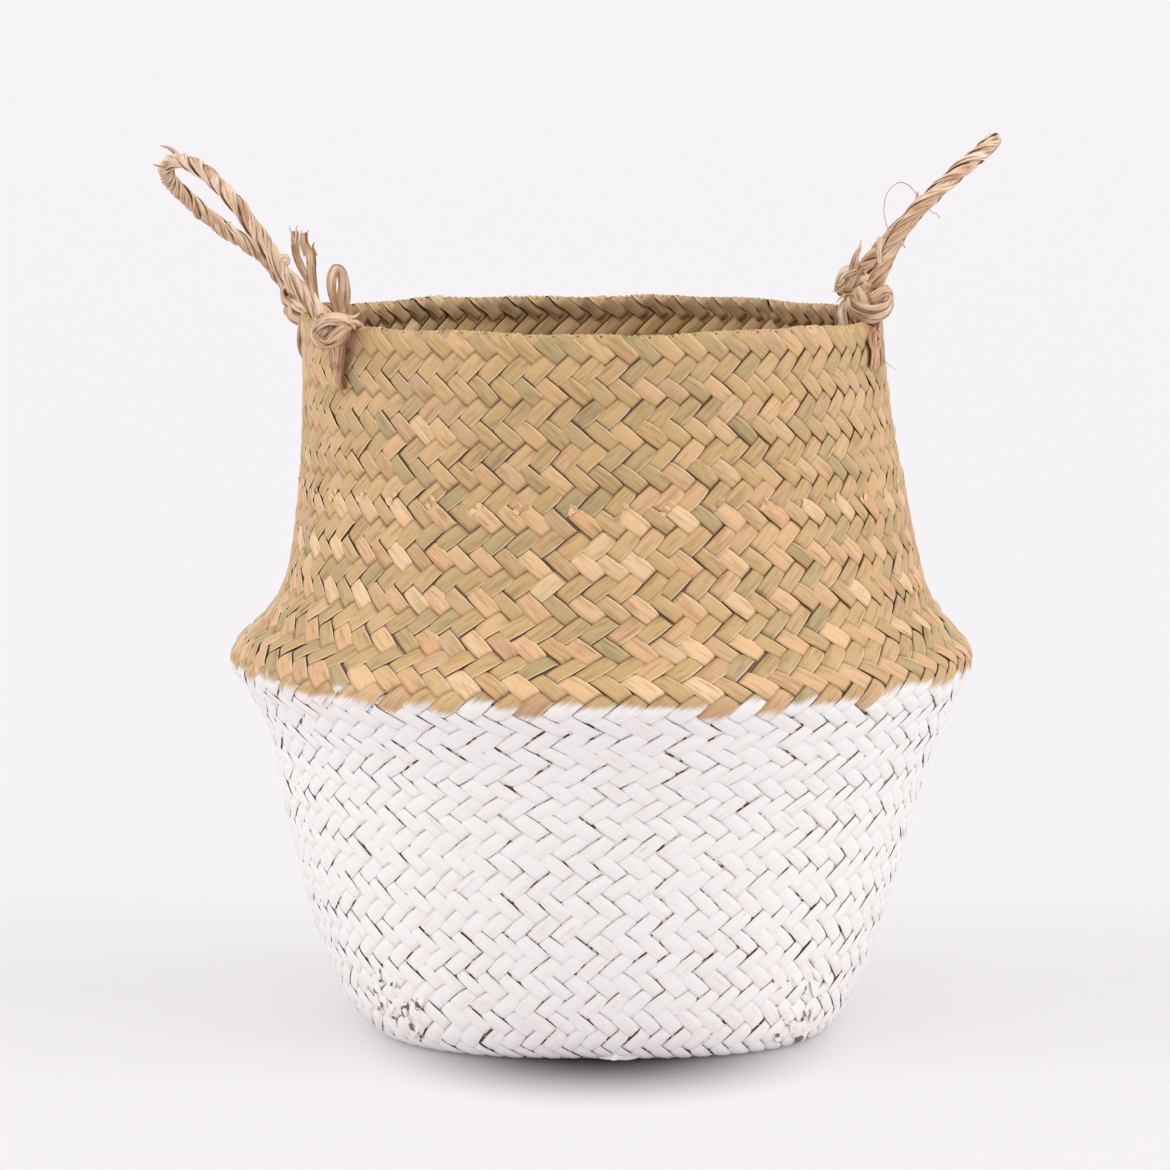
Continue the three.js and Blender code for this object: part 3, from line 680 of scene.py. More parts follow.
def cordMaterial():
    # Twisted seagrass: whole blades rolled and laid up by hand. Dry and papery, paler and
    # pinker than the plait, in long creases whose bottoms are darkened by painted shade, with a thin
    # waxy shine on the folds.
    material, tree = emptyMaterial("twistedSeagrassCord")
    fibre = addNode(tree, "ShaderNodeAttribute", {"attribute_name": "fibre"})
    cover = addNode(tree, "ShaderNodeAttribute", {"attribute_name": "cover"})
    tone = addNode(tree, "ShaderNodeAttribute", {"attribute_name": "tone"})
    covers = addNode(tree, "ShaderNodeSeparateXYZ", {}, {0: cover.outputs["Vector"]})
    tones = addNode(tree, "ShaderNodeSeparateXYZ", {}, {0: tone.outputs["Vector"]})
    # fibres 0.5 mm wide and 14 mm long, and blots 5 by 10 mm
    fine = addNode(tree, "ShaderNodeMapping", {}, {
        "Vector": fibre.outputs["Vector"], "Scale": (1.9, 0.07, 1.0)})
    streak = addNode(tree, "ShaderNodeTexNoise", {}, {
        "Vector": fine.outputs[0], "Scale": 1.0, "Detail": 3.0, "Roughness": 0.6})
    broad = addNode(tree, "ShaderNodeMapping", {}, {
        "Vector": fibre.outputs["Vector"], "Scale": (0.2, 0.1, 1.0)})
    blot = addNode(tree, "ShaderNodeTexNoise", {}, {"Vector": broad.outputs[0], "Scale": 1.0, "Detail": 1.5})
    base = addNode(tree, "ShaderNodeValToRGB", {}, {0: blot.outputs[0]}, [
        (0.28, "c69e7c"), (0.42, "e2c3a4"), (0.54, "efd5bb"), (0.68, "f7e3cf"), (0.85, "e2c09e")])
    shade = addNode(tree, "ShaderNodeValToRGB", {}, {0: streak.outputs[0]}, [
        (0.3, "a98a6c"), (0.42, "e8dccf"), (0.52, "ffffff"), (0.8, "ffffff")])
    streaked = addNode(tree, "ShaderNodeMix", {"data_type": "RGBA", "blend_type": "MULTIPLY"}, {
        0: 0.9, 6: base.outputs[0], 7: shade.outputs[0]})
    warm = addNode(tree, "ShaderNodeMix", {"data_type": "RGBA", "blend_type": "MULTIPLY"}, {
        0: tones.outputs[0], 6: streaked.outputs[2], 7: linear("cba780")})
    pale = addNode(tree, "ShaderNodeMix", {"data_type": "RGBA"}, {
        0: tones.outputs[2], 6: warm.outputs[2], 7: linear("ecd9a6")})
    # painted shade, dark brown, in the creases and wherever cover's x is high
    crease = addNode(tree, "ShaderNodeMapRange", {}, {0: covers.outputs[0], 1: 0.4, 2: 1.0, 3: 0.0, 4: 0.9})
    colour = addNode(tree, "ShaderNodeMix", {"data_type": "RGBA"}, {
        0: crease.outputs[0], 6: pale.outputs[2], 7: linear("67452a")})
    bump = addNode(tree, "ShaderNodeBump", {}, {
        "Strength": 0.6, "Distance": 0.0004, "Height": streak.outputs[0]})
    shader = addNode(tree, "ShaderNodeBsdfPrincipled", {}, {
        "Base Color": colour.outputs[2], "Roughness": 0.52, "Normal": bump.outputs[0],
        "Specular IOR Level": 0.45})
    addNode(tree, "ShaderNodeOutputMaterial", {}, {0: shader.outputs[0]})
    return material


def unit(v):
    return v / np.maximum(np.linalg.norm(v, axis=-1, keepdims=True), 1e-9)


def framesAlong(paths):
    # Each step's frame is the last one with its normal laid square to the new tangent, so that
    # a section carried along doesn't spin
    tangent = unit(np.gradient(paths, axis=1))
    start = np.where(np.abs(tangent[:, 0, 2:3]) < 0.8, [[0, 0, 1.0]], [[1.0, 0, 0]])
    normal = np.empty_like(paths)
    for step in range(paths.shape[1]):
        t = tangent[:, step]
        start = unit(start - np.sum(start * t, -1, keepdims=True) * t)
        normal[:, step] = start
    return tangent, normal


def bends(random, tubes, steps, count):
    # straight stretches between count random values from -1 to 1, the way dry grass kinks
    values = random.random((tubes, count)) * 2 - 1
    at = np.linspace(0, count - 1.001, steps)
    low = at.astype(int)
    return values[:, low] * (1 - (at - low)) + values[:, low + 1] * (at - low)


strands = {
    "sides": 14,
    "crease": 0.34,  # depth of a fold's crease, of the radius
    "folds": 1.5,  # half the number of folds round a strand
    "kinks": 0.16,  # how far the radius changes from kink to kink
}


def strandRings(paths, width, thickness, random, turns=0.0, facing=None, tan=0.2, pale=0.0):
    # A rolled blade: round its path an oval of half width and half thickness, whose radius
    # follows |cos| of the angle, so that the folds meet in sharp creases, and whose folds turn
    # round it as it goes. width and thickness are numbers or one for each tube and step.
    # facing turns the wide side of a flat one: its normals point away from that place. tan is
    # how brown it is and pale how yellow, and cover's x is how much painted shade it gets: most
    # in the creases.
    tubes, steps = paths.shape[:2]
    tangent, normal = framesAlong(paths)
    if facing is not None:
        away = paths - np.asarray(facing, float)
        normal = unit(away - np.sum(away * tangent, -1, keepdims=True) * tangent)
    side = np.cross(normal, tangent)
    turn = np.linspace(0, 2 * math.pi, strands["sides"], endpoint=False)
    along = np.linspace(0, 1, steps)[None, :, None]
    length = np.cumsum(np.linalg.norm(np.diff(paths, axis=1, prepend=paths[:, :1]), axis=-1), axis=1)
    kinks = max(3, int(length[0, -1] / 7))
    phase = random.random((tubes, 1, 1)) * 2 * math.pi + 0.5 * bends(random, tubes, steps, kinks)[..., None]
    swell = 1 + strands["kinks"] * bends(random, tubes, steps, kinks)[..., None]
    fold = np.abs(np.cos(strands["folds"] * (turn - phase) - along * turns * 2 * math.pi))
    small = np.abs(np.cos(2.5 * (turn + phase) + along * turns * 7))
    radius = swell * (1 - strands["crease"] * (1 - fold) ** 2.2 - 0.1 * (1 - small) ** 3)
    width = np.broadcast_to(np.asarray(width, float), (tubes, steps))[..., None]
    thickness = np.broadcast_to(np.asarray(thickness, float), (tubes, steps))[..., None]
    rings = paths[:, :, None] + (radius * width * np.cos(turn))[..., None] * side[:, :, None]
    rings = rings + (radius * thickness * np.sin(turn))[..., None] * normal[:, :, None]
    seed = random.random((tubes, 1, 1)) + np.zeros((tubes, steps, len(turn)))
    flat = 0.85 * smooth(width / np.maximum(thickness, 0.01), 1.2, 2.2)  # a flat one gets painted shade at its edges
    paintedShade = np.maximum((1 - fold) ** 1.5, flat * np.abs(np.cos(turn)) ** 5)
    values = {
        "fibre": np.stack([turn * (width + thickness) / 2, length[..., None] + 0 * turn, 90 * seed], -1),
        "tone": np.stack([tan * seed * 2, seed, pale + 0 * seed], -1),
        "cover": np.stack([paintedShade, 1 + 0 * seed, 0 * seed], -1),
    }
    return rings, values


def joinRings(parts):  # a list of rings and values with the same steps, as one
    rings = np.concatenate([rings for rings, _ in parts])
    values = {name: np.concatenate([v[name] for _, v in parts]) for name in parts[0][1]}
    return rings, values


def strandThrough(points, widths, thickness, steps, random, **look):
    # one strand through given points, its half width running through the widths
    line = curveThrough(np.array(points, float), steps)
    taper = np.interp(np.linspace(0, 1, steps), np.linspace(0, 1, len(widths)), widths)
    return strandRings(line[None], taper, np.minimum(thickness, taper), random, **look)


def doubled(points, widths, thickness, steps, random, facing, tan=0.3):
    # a band of two overlapping blades, one a little aside of and below the other
    points = points + 0.25 * (2 * random.random(points.shape) - 1)
    outward = unit(points - facing)
    aside = unit(np.cross(outward, np.gradient(points, axis=0)))
    shift = 0.4 * np.mean(widths)
    upper, lower = points + shift * aside, points - 1.4 * shift * aside - 0.45 * outward
    widths = np.array(widths)
    return [
        strandThrough(upper, 1.15 * widths, thickness, steps, random, turns=0.25, facing=facing, tan=tan),
        strandThrough(lower, 0.85 * widths, thickness, steps, random, turns=0.4, facing=facing,
                      tan=tan + 0.2),
    ]


handles = {
    # Angles are degrees back from the basket's side, of the front knot and the rear one. tie is
    # what makeLashing says, and outOfPlane is how far the loop stands off its plane at its stations.
    "left": {
        "side": -1, "knotAngles": (-36, 19.4), "knotDistance": 135.3, "knotHeight": 304,
        "holeAngles": (-34, 17.2), "holeHeight": 278, "reach": 88.5, "tilt": 48.7,
        "tie": (304.8, 1, 0.2, 0.35), "brown": 0.0,
        "outOfPlane": (0, 2, 2, 4.8, 6.5, 4.4, -1.2, -6, -5.4, -2, 3, 2.4, 0),
    },
    "right": {
        "side": 1, "knotAngles": (-18, 23.2), "knotDistance": 123.5, "knotHeight": 314.8,
        "holeAngles": (-20.5, 23.2), "holeHeight": 283.5, "reach": 85.4, "tilt": 47.3,
        "tie": (307.2, 0.4, 0.5, 0.5), "brown": 0.4,
        "outOfPlane": (0, -4.5, -8.5, -8.8, -5.8, -2.8, -1, 1, 0.5, 0, 0, 0.3, 0),
    },
    "lean": -4.4,  # how far right of the middle the rim's own middle is
    "stations": [  # shares of half the span and of the reach
        (-1, 0.02), (-1, 0.15), (-0.98, 0.32), (-0.9, 0.54), (-0.7, 0.77), (-0.37, 0.94), (0, 1),
        (0.37, 0.94), (0.7, 0.77), (0.9, 0.54), (0.98, 0.32), (1, 0.15), (1, 0.02),
    ],
    "lay": 38.0,  # mm for one turn of the blades
    "slack": 0.8,  # and how much less they are turned at the loop's middle
    "thinner": 0.16,  # and how much thinner the rope is there
    "broad": {"half": 2.9, "radius": 2.8, "lift": 0.5},
    "narrow": {"half": 1.2, "radius": 3.05},
    "core": 2.65,  # its radius
    "steps": 240,
}


def angleFromSide(side, degrees):
    turned = math.radians(degrees)
    return turned if side == "right" else math.pi - turned


def knotPlace(side, end):
    setup = handles[side]
    angle = angleFromSide(side, setup["knotAngles"][end])
    reach = setup["knotDistance"]
    return np.array([handles["lean"] + reach * math.cos(angle), reach * math.sin(angle), setup["knotHeight"]])


def handleRoute(side):
    # The loop's middle line: the stations laid along the line through the knots, out along
    # the tilted reach and square to both.
    setup = handles[side]
    front, rear = knotPlace(side, 0), knotPlace(side, 1)
    along = unit(rear - front)
    outward = setup["side"] * np.array([along[1], -along[0], 0])
    tilt = math.radians(setup["tilt"])
    reach = outward * math.cos(tilt) + np.array([0, 0, math.sin(tilt)])
    square = np.cross(along, reach)
    shares = np.array(handles["stations"]) * (np.linalg.norm(rear - front) / 2, setup["reach"])
    points = (front + rear) / 2 + shares @ np.stack([along, reach])
    points = points + np.array(setup["outOfPlane"])[:, None] * square
    return curveThrough(points, handles["steps"])


# A ribbon's section: places across it, from -1 to 1, and mm over its radius
ribbon = np.array([
    (-1, -0.1), (-0.7, 0.22), (-0.25, 0.12), (0.15, 0.3), (0.6, 0.2), (0.85, 0.26), (1, -0.02),
    (0.9, -0.3), (0.3, -0.34), (-0.3, -0.34), (-0.9, -0.36),
])


def ribbonRings(route, lay, phase, half, radius, lift, random, rough=0.2, brown=0.0):
    # Flat blades laid round the route as on a cylinder: a point stands at s along the route and
    # at an angle of 2 pi s / lay round it, and the ribbon's width goes square to its own way on
    # the unrolled cylinder. lift raises one edge over the next blade, and rough is how far in mm
    # the radius goes up and down at the kinks. Where the loop bends back hardest, at its middle,
    # the blades are hardly twisted. brown is how much browner they are near the knots, fading out
    # between 20 and 45 mm from them.
    steps = len(route)
    way = np.concatenate([[0], np.cumsum(np.linalg.norm(np.diff(route, axis=0), axis=1))])
    tangent, normal = framesAlong(route[None])
    binormal = np.cross(tangent, normal)
    count = len(phase)
    across, up = ribbon.T
    kinks = int(way[-1] / 6)
    middle = np.exp(-((way - way[-1] / 2) / 15) ** 2)
    half = (half * (1 + 0.3 * bends(random, count, steps, kinks)))[..., None]
    radius = (radius + rough * bends(random, count, steps, kinks)) * (1 - handles["thinner"] * middle)
    radius = radius[..., None]
    drift = (phase[:, None] + 0.25 * bends(random, count, steps, kinks // 2))[..., None]
    rate = 2 * math.pi / lay * (1 - handles["slack"] * middle)
    twist = np.cumsum(rate * np.gradient(way))[None, :, None]
    slope = np.arctan(rate[None, :, None] * radius)
    s = way[None, :, None] - across * half * np.sin(slope)
    angle = twist + drift + across * half * np.cos(slope) / radius
    crumple = 0.7 * rough * bends(random, count * len(up), steps, kinks + 5).reshape(count, len(up), steps)
    r = radius + up + lift * across + crumple.transpose(0, 2, 1)
    centre, first, second = (
        np.stack([np.interp(s, way, a[:, i]) for i in range(3)], -1) for a in (route, normal[0], binormal[0]))
    rings = centre + (r * np.cos(angle))[..., None] * first + (r * np.sin(angle))[..., None] * second
    seed = random.random((count, 1, 1)) + 0 * s
    # painted shade at a ribbon's edges, where it tucks under the next, and all over its underside
    paintedShade = np.clip(1.6 * np.abs(across) - 0.9, 0, 1)
    paintedShade = paintedShade * (0.5 + 0.5 * bends(random, count, steps, kinks)[..., None])
    paintedShade = np.where(up < 0, 1, np.clip(paintedShade, 0, 1))
    worn = brown * smooth(np.minimum(way, way[-1] - way), 45, 20)[None, :, None]
    tan = 0.3 * seed * (1 + bends(random, count, steps, kinks // 2)[..., None]) + worn
    values = {
        "fibre": np.stack([across * half, way[None, :, None] + 0 * s, 90 * seed], -1),
        "tone": np.stack([tan, seed, 0 * seed], -1),
        "cover": np.stack([paintedShade, 1 + 0 * s, 0 * s], -1),
    }
    return rings, values


def makeRope(side, material, random):
    # Three broad blades over a core, and narrow ones that wander from groove to groove and
    # sink under the broad ones here and there
    route = handleRoute(side)
    thirds = np.arange(3) * 2 * math.pi / 3
    lay, brown = handles["lay"], handles[side]["brown"]
    broad, narrow = handles["broad"], handles["narrow"]
    half, radius = narrow["half"], narrow["radius"]
    parts = [
        ribbonRings(route, lay, thirds, broad["half"], broad["radius"], broad["lift"], random, brown=brown),
        ribbonRings(route, lay * 1.07, thirds + 1, half, radius, 0.1, random, 0.5, brown),
        ribbonRings(route, lay * 0.94, thirds + 2, half * 0.6, radius, 0.1, random, 0.6, brown),
    ]
    rings, values = joinRings(parts)
    rope = tubeMesh(f"{side}_handle_rope", rings, material, values, sharp=50)
    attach(rope, f"{side}_handle")
    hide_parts(f"{side}_rope")
    size = handles["core"] * (1 - handles["thinner"] * np.exp(-np.linspace(-4.5, 4.5, len(route)) ** 2))
    core, values = strandRings(route[None], size, size, random, turns=3, tan=0.5)
    core = tubeMesh(f"{side}_handle_core", core, material, values, sharp=35)
    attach(core, f"{side}_handle")


# Knots. The bands that show at a knot's front are points right of, behind and above its
# middle in mm, with half widths along them and a share of the thickness.
knots = {
    "ring": 3.8,  # mm, radius of the ring that the strand winds round
    "wave": 1.9,  # and how far it winds off it
    "rise": 1.25,  # and how much further along the ring's axis
    "width": 2.0,
    "thickness": 0.75,
    "flat": 0.6,  # half a band's thickness, times its own share
    "pair": 1.3,  # mm that each of the strand's two blades stands off its middle line
    "packing": [(-7, 2, -1.5), (-2.5, 0.5, -2.5), (2.5, 0.5, -2.5), (7.4, 2, -1)],  # mm from the middle
    "packed": (2.2, 3.9, 4.4, 4.2, 2.4),  # its half widths
    "packedDepth": 4.0,  # half of it
    "stub": (-6.4, 7.5, 4.7),  # mm along the cord from the middle to its ends, and its radius
    "steps": 110,
    "offset": {  # from the CAD knot's middle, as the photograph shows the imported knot
        ("left", 0): (1.6, 0, -0.7), ("left", 1): (0.6, 0, 0),
        ("right", 0): (-0.8, 0, -3.4), ("right", 1): (0.6, 0, -0.6),
    },
    "tan": {("left", 0): 0.4, ("left", 1): 0.34, ("right", 0): 0.28, ("right", 1): 0.38},
    "turn": {("left", 0): 0.4, ("left", 1): 1.5, ("right", 0): 2.6, ("right", 1): 0.9},
    "bands": {
        ("left", 0): [
            ([(-4.6, -3, 1.6), (-7.4, -5, -0.6), (-7.2, -6, -4.4), (-4, -7, -7.2), (0.6, -7.4, -7.6),
              (4.6, -6, -5)], (0.7, 0.8, 0.8, 1.0, 1.1), 0.9),
            ([(-4.6, -5, -4.4), (-1.4, -8, -5.4), (2, -8.6, -3.4), (5, -8, -0.6), (8.4, -6, 1.2)],
             (0.9, 1.5, 2.0, 2.2, 1.9), 0.9),
            ([(-6.6, -3, 0), (-3.4, -6.4, 2.8), (0.8, -7.6, 4.6), (5, -7.4, 4.4), (9.2, -6, 2.8)],
             (1.3, 1.9, 2.2, 2.4), 0.9),
            ([(2.4, -7, -6.8), (5.6, -6.4, -3.6), (6.6, -6, 0)], (1.0, 1.5, 1.2), 0.8),
        ],
        ("left", 1): [
            ([(-5.6, -4, 0.5), (-4.5, -6, -3.2), (-0.5, -7, -5.8), (4.5, -6, -7), (7.5, -3, -7.5)],
             (1.7, 2.5, 2.5, 1.8), 0.9),
            ([(-5.8, -4, 2.6), (-2, -6.5, 0.2), (2.5, -7, -2), (6.5, -5, -5)], (1.4, 2.2, 2.2, 1.5), 0.9),
            ([(-1.5, -3, 2.5), (-3.6, -4.5, 7), (-6, -4.5, 9.4), (-7.8, -4, 7.2), (-7.2, -4, 3.4),
              (-4, -5, 0.5)], (1.4, 1.7, 1.8, 1.5), 0.9),
        ],
        ("right", 0): [
            ([(-9, -3, 1.5), (-8.6, -5.5, -3), (-4, -7.2, -6.4), (2, -7.6, -6.8), (7.4, -6.2, -4.4),
              (10, -3.6, -0.5)], (1.5, 2.1, 2.3, 1.9), 1.0),
            ([(-7.4, -5, 0.4), (-3.6, -7.6, -2), (1.6, -8.4, -3), (6.8, -7, -1.2), (10, -4, 2)],
             (1.4, 1.9, 2.0, 1.6), 0.9),
            ([(-4, -3, 0), (1, -7, 1.6), (5.8, -6.6, 4.4), (8.8, -4, 4.6), (9.6, -3, 1.4), (7, -3, -1.8)],
             (1.4, 2.1, 2.1, 1.7), 1.0),
            ([(-6, -5, 6), (-3.6, -7.6, 2.4), (-2.4, -7.8, -1.6), (-3.4, -6, -5.6)], (1.5, 2.2, 1.5), 0.9),
        ],
        ("right", 1): [
            ([(-6, -3, -3), (-5.8, -5, 1.6), (-3, -6, 5.2), (2, -5, 6.8)], (1.7, 2.3, 2.2), 0.9),
            ([(-3.4, -5, -5), (-1, -6.5, -1), (0.8, -6, 4), (3, -4, 7.6)], (1.5, 2.2, 1.8), 0.9),
            ([(6, -3, -1), (3, -6, -3.4), (-2, -6.5, -4.8), (-6.6, -3, -3.6)], (1.5, 2.1, 1.7), 0.9),
        ],
    },
}


def makeKnot(side, end, material, random):
    # An overhand knot: distance from its axis is ring + wave cos 3t, place along the axis is
    # rise times wave sin 3t, while it goes twice round, as two blades side by side. A short stub
    # of cord fills its middle, with a lump of packed grass across it.
    steps = knots["steps"]
    centre = knotPlace(side, end) + np.array(knots["offset"][side, end])
    axis = unit(handleRoute(side)[16 if end == 0 else -17] - knotPlace(side, end))
    first = unit(np.cross(axis, [0, 1.0, 0.3]))
    second = np.cross(axis, first)
    tan = knots["tan"][side, end]
    t = np.linspace(0, 2 * math.pi * 1.02, steps)
    spin = 2 * t + knots["turn"][side, end]
    reach = knots["ring"] + knots["wave"] * np.cos(3 * t)
    height = knots["rise"] * knots["wave"] * np.sin(3 * t)
    path = centre + (reach * np.cos(spin))[:, None] * first + (reach * np.sin(spin))[:, None] * second
    path = path + height[:, None] * axis
    apart = unit(np.cross(path - centre, np.gradient(path, axis=0)))
    paths = np.stack([path - knots["pair"] * apart, path + knots["pair"] * apart])
    width, thickness = knots["width"], knots["thickness"]
    parts = [strandRings(paths, width, thickness, random, turns=1.2, facing=centre, tan=tan)]
    low, high, radius = knots["stub"]
    stub = centre + np.linspace(low, high, steps)[:, None] * axis
    parts.append(strandRings(stub[None], radius, radius, random, turns=0.6, tan=0.35))
    packing = centre + np.array(knots["packing"])
    parts.append(strandThrough(packing, knots["packed"], knots["packedDepth"], steps, random, turns=0.4,
                               facing=centre + (0, 400, 0), tan=tan))
    for points, widths, share in knots["bands"][side, end]:
        parts += doubled(centre + np.array(points), widths, knots["flat"] * share, steps, random, centre, tan)
    rings, values = joinRings(parts)
    name = f"{side}_{'rear' if end else 'front'}_knot"
    knot = tubeMesh(name + "_cord", rings, material, values, sharp=35)
    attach(knot, f"{side}_handle")
    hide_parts(name)


lashing = {
    "spread": (-5.5, -1.2, 4.2),  # mm aside at the knot, one for each strand
    "width": 1.6,  # half of it
    "thickness": 0.6,  # half of it
    "steps": 90,
    "around": (122, 290),  # distance and height of the line that its blades face away from
    "rimRadius": 122.7,  # where a bow or a tail stands on the rim
    "rimTop": 305.4,
    "slack": {("left", 1): 5.0},  # mm that one stands off the wall outside
    "bow": {
        # its outline is right of and above its foot in mm, leaning out by a share of the height
        # and turned so that it goes back by a share of the way to the right
        "aside": -8, "lean": 0.1, "turned": 1.0, "tan": 0.25, "thickness": 0.6,
        "widths": (1.1, 1.1, 1.3, 1.4, 1.3, 1.7, 2.1, 2.1, 1.6),
        "outline": [
            (-1.4, 0), (-1.7, 5), (-2.4, 12), (-2.1, 18), (-0.2, 22), (1.8, 20.5), (2, 14.5),
            (1.2, 7.5), (0.4, 0),
        ],
    },
    "eyelet": {
        "aside": 12, "lean": 0.24, "turned": -0.9, "tan": 0.4, "thickness": 0.6,
        "widths": (1.1, 1.4, 1.4, 1.3, 1.5, 1.5, 1.3, 1.4, 1.5, 1.4, 1.1),
        "outline": [
            (-1.9, 32), (-2.6, 27), (-3.2, 22), (-2.4, 16), (-0.8, 10), (0, 1), (0.8, 10), (1.6, 15),
            (2.8, 21), (1.6, 27), (2.1, 31.5),
        ],
    },
}


def makeLashing(side, end, material, random, tail=None):
    # Strands that leave the hole in the wall, rise outside to the knot, go over the rim and
    # down inside to the hole again, each a little to one side of the next
    setup = handles[side]
    angle = angleFromSide(side, setup["holeAngles"][end])
    away = np.array([math.cos(angle), math.sin(angle), 0])
    aside = np.array([-math.sin(angle), math.cos(angle), 0])
    steps = lashing["steps"]
    hole = setup["holeHeight"]
    out = 0.55 * (setup["knotDistance"] - 127)  # how far they stand off the rim to reach the knot
    # how high the strands run into the knot, their spread there and at the hole, and how brown:
    # a browner tone that partly stands in as painted shade on the strands
    top, pinch, atHole, tan = setup["tie"]
    centre = np.array([handles["lean"], 0, 0])
    toKnot = 0.8 * np.dot(knotPlace(side, end) + knots["offset"][side, end] - centre, aside)
    slack = lashing["slack"].get((side, end), 0)
    parts = []
    for spread in lashing["spread"]:
        points = [  # distance from the rim's axis, height and share of the spread
            (122.6, hole - 0.6, 0), (125.6, hole - 0.4, atHole / 2),
            (127.7 + 0.4 * slack, hole + 2, atHole), (128 + slack, hole + 8, max(atHole, 0.45)),
            (128 + 0.4 * out + 0.6 * slack, 295, 0.85), (127.6 + out, 300.4, pinch),
            (126.4, top - 0.4, pinch), (122, top, pinch), (118.4, top - 4.4, pinch), (118.4, 293, 0.7),
            (119.2, hole + 8, 0.35), (119.6, hole + 2.5, 0.15), (121.2, hole - 0.4, 0.05),
            (123.4, hole - 0.8, 0),
        ]
        line = [centre + (0, 0, z) + r * away + (share * spread + toKnot * smooth(z, hole + 6, 303)) * aside
                for r, z, share in points]
        distance, height = lashing["around"]
        middle = centre + distance * away + (0, 0, height)
        widths = (lashing["width"],) * 2
        parts += doubled(np.array(line), widths, lashing["thickness"], steps, random, middle, tan)
    if tail:
        turn = angleFromSide(side, setup["knotAngles"][end]) + tail["aside"] / body["outline"][-1][0]
        foot = centre + lashing["rimRadius"] * np.array([math.cos(turn), math.sin(turn), 0])
        foot = foot + (0, 0, lashing["rimTop"])
        line = np.array([foot + (x - tail["lean"] * z, tail["turned"] * x, z) for x, z in tail["outline"]])
        parts += doubled(line, tail["widths"], tail["thickness"], steps, random,
                         foot + (0, 400, 12), tail["tan"])
    rings, values = joinRings(parts)
    name = f"{side}_{'rear' if end else 'front'}_lashing"
    band = tubeMesh(name + "_cord", rings, material, values, sharp=35)
    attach(band, "neck")
    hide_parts(name)


